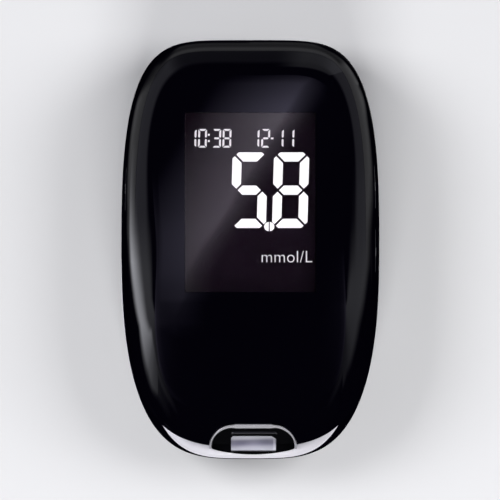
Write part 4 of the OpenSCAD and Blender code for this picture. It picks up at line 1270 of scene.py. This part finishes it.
def overhead_glow(x, y, z):
    """A soft diagonal band of light over the face, with a clear edge on its right."""
    edge = along(y, (-37, -22), (-18, -20.5), (-5, -18.5), (1, -14.2), (8, -7.6), (14, -3.4),
                 (25, 5.4), (30, 9.7), (46, 22.5))
    peak = along(y, (-70, 0.0), (-37, 0.16), (-18, 0.28), (-8, 0.6), (-5, 0.85), (3, 1.35),
                 (6, 1.5), (20, 1.5),
                 (26, 1.7), (30, 2.15), (33, 1.8), (37, 1.1), (41, 0.5), (46, 0.0))
    if x > edge:
        side = (1 - 0.3 * ease((x - edge) / 0.9)) * max(0.0, 1 - (x - edge) / 9.5) ** 1.9
    else:
        side = max(0.0, 1 - (edge - x) / 26) ** 1.2
    # dimmer ends of the side walls, which the lower shoulders show
    left = (along(y, (-37, 0.12), (-18, 0.2), (-5, 0.3), (3, 0.28), (10, 0.1),
                  (16, 0.0)) * ease((-x - 12) / 10) * ease((y + 60) / 20))
    left += (along(y, (-220, 0.05), (-150, 0.12), (-110, 0.4), (-80, 0.65), (-40, 0.7), (-25, 0.45),
                   (-12, 0.15), (3, 0.0)) * ease((-x - 20) / 30))
    right = (along(y, (-180, 0.0), (-120, 0.12), (-60, 0.36), (-20, 0.5), (-8, 0.25),
                   (0, 0.0)) * ease((x - 20) / 30))
    return max(peak * side, left, right), 0.0


def studio_world():
    """Pale walls up to half height and a dark ceiling; the walls beyond the ends are dimmer."""
    world = bpy.data.worlds.new("studio")
    bpy.context.scene.world = world
    world.use_nodes = True
    nodes, links = world.node_tree.nodes, world.node_tree.links
    sky = nodes["Background"]
    place, split = nodes.new("ShaderNodeTexCoord"), nodes.new("ShaderNodeSeparateXYZ")
    links.new(place.outputs["Generated"], split.inputs["Vector"])

    def ramp(value, low, high, to_low, to_high):
        node = nodes.new("ShaderNodeMapRange")
        node.interpolation_type = "SMOOTHSTEP"
        for socket, number in (("From Min", low), ("From Max", high), ("To Min", to_low),
                               ("To Max", to_high)):
            node.inputs[socket].default_value = number
        links.new(value, node.inputs["Value"])
        return node.outputs["Result"]

    def combine(kind, a, b):
        node = nodes.new("ShaderNodeMath")
        node.operation = kind
        links.new(a, node.inputs[0])
        if isinstance(b, float):
            node.inputs[1].default_value = b
        else:
            links.new(b, node.inputs[1])
        return node.outputs[0]

    # direction round the case, without its height
    level_out, turn = nodes.new("ShaderNodeCombineXYZ"), nodes.new("ShaderNodeVectorMath")
    around = nodes.new("ShaderNodeSeparateXYZ")
    turn.operation = "NORMALIZE"
    links.new(split.outputs["X"], level_out.inputs["X"])
    links.new(split.outputs["Y"], level_out.inputs["Y"])
    links.new(level_out.outputs["Vector"], turn.inputs[0])
    links.new(turn.outputs["Vector"], around.inputs["Vector"])
    # the left wall reaches higher than the right one and is a little brighter
    lift = ramp(split.outputs["X"], -0.5, 0.5, 0.0, 0.12)
    height = combine("ADD", split.outputs["Z"], lift)
    wall = ramp(height, 0.6, 0.82, 1.0, 0.0)
    sides = ramp(around.outputs["X"], -0.3, 0.3, 0.68, 0.54)
    strip_end = ramp(around.outputs["Y"], -0.82, -0.5, 0.0, 1.0)
    top_end = ramp(around.outputs["Y"], 0.75, 0.97, 1.0, 0.25)
    walls = combine("MULTIPLY", combine("MULTIPLY", sides, strip_end), top_end)
    level = combine("ADD", combine("MULTIPLY", wall, walls), 0.005)
    links.new(level, sky.inputs["Strength"])
    sky.inputs["Color"].default_value = (0.93, 0.93, 1.08, 1)


def studio():
    floor_paint = finish("floor_paint", (0.56, 0.56, 0.57), (0.58, 0.58, 0.59), rough=(0.8, 0.9),
                         specular=0.1)
    far = 1500
    staged("floor", [(-far, -far, 0), (far, -far, 0), (far, far, 0), (-far, far, 0)],
           [(0, 1, 2, 3)], floor_paint)
    studio_world()
    card_x, card_y, card_z, card_l, card_h = 52, -200, 0.5, 240, 169
    for name, side, glow, steps in (("left_card", -1, left_glow, 160),
                                    ("right_card", 1, right_glow, 140)):
        glow_card(name, (side * card_x, card_y, card_z), (0, card_l, 0), (0, 0, card_h), glow,
                  steps)
    glow_card("top_card", (-30, 37, 0.5), (60, 0, 0), (0, 15, 60), top_glow, 60)
    glow_card("overhead_card", (-60, -220, 170), (120, 0, 0), (0, 290, 0), overhead_glow, 200,
              (0.96, 0.9, 1.3))

    for name, place, size, power in (("key", (-380, 160, 420), 260, 2.3),
                                     ("fill", (400, 120, 400), 300, 2.3),
                                     ("end", (0, -420, 300), 240, 2.3)):
        light = bpy.data.lights.new(name, "AREA")
        light.size, light.energy = size * MM, power
        lamp = bpy.data.objects.new(name, light)
        bpy.context.collection.objects.link(lamp)
        lamp.location = Vector(place) * MM
        lamp.rotation_euler = (-Vector(place)).to_track_quat("-Z", "Y").to_euler()
        lamp.visible_glossy = False

    camera = bpy.data.cameras.new("camera")
    eye = bpy.data.objects.new("camera", camera)
    bpy.context.collection.objects.link(eye)
    # the photograph is 500 pixels wide and the case 419 long, with its middle at these pixels
    pixel, case_x, case_y = 2 * HALF_L / 419, 250.35, 249.6
    distance, wide = 1200.0, 500 * pixel
    eye.location = ((250 - case_x) * pixel * MM, (case_y - 250) * pixel * MM,
                    (PART_Z + distance) * MM)
    camera.sensor_width = 36
    camera.lens = 36 * distance / wide
    camera.clip_start, camera.clip_end = 0.01, 10
    bpy.context.scene.camera = eye
    bpy.context.scene.view_settings.view_transform = "Standard"


studio()
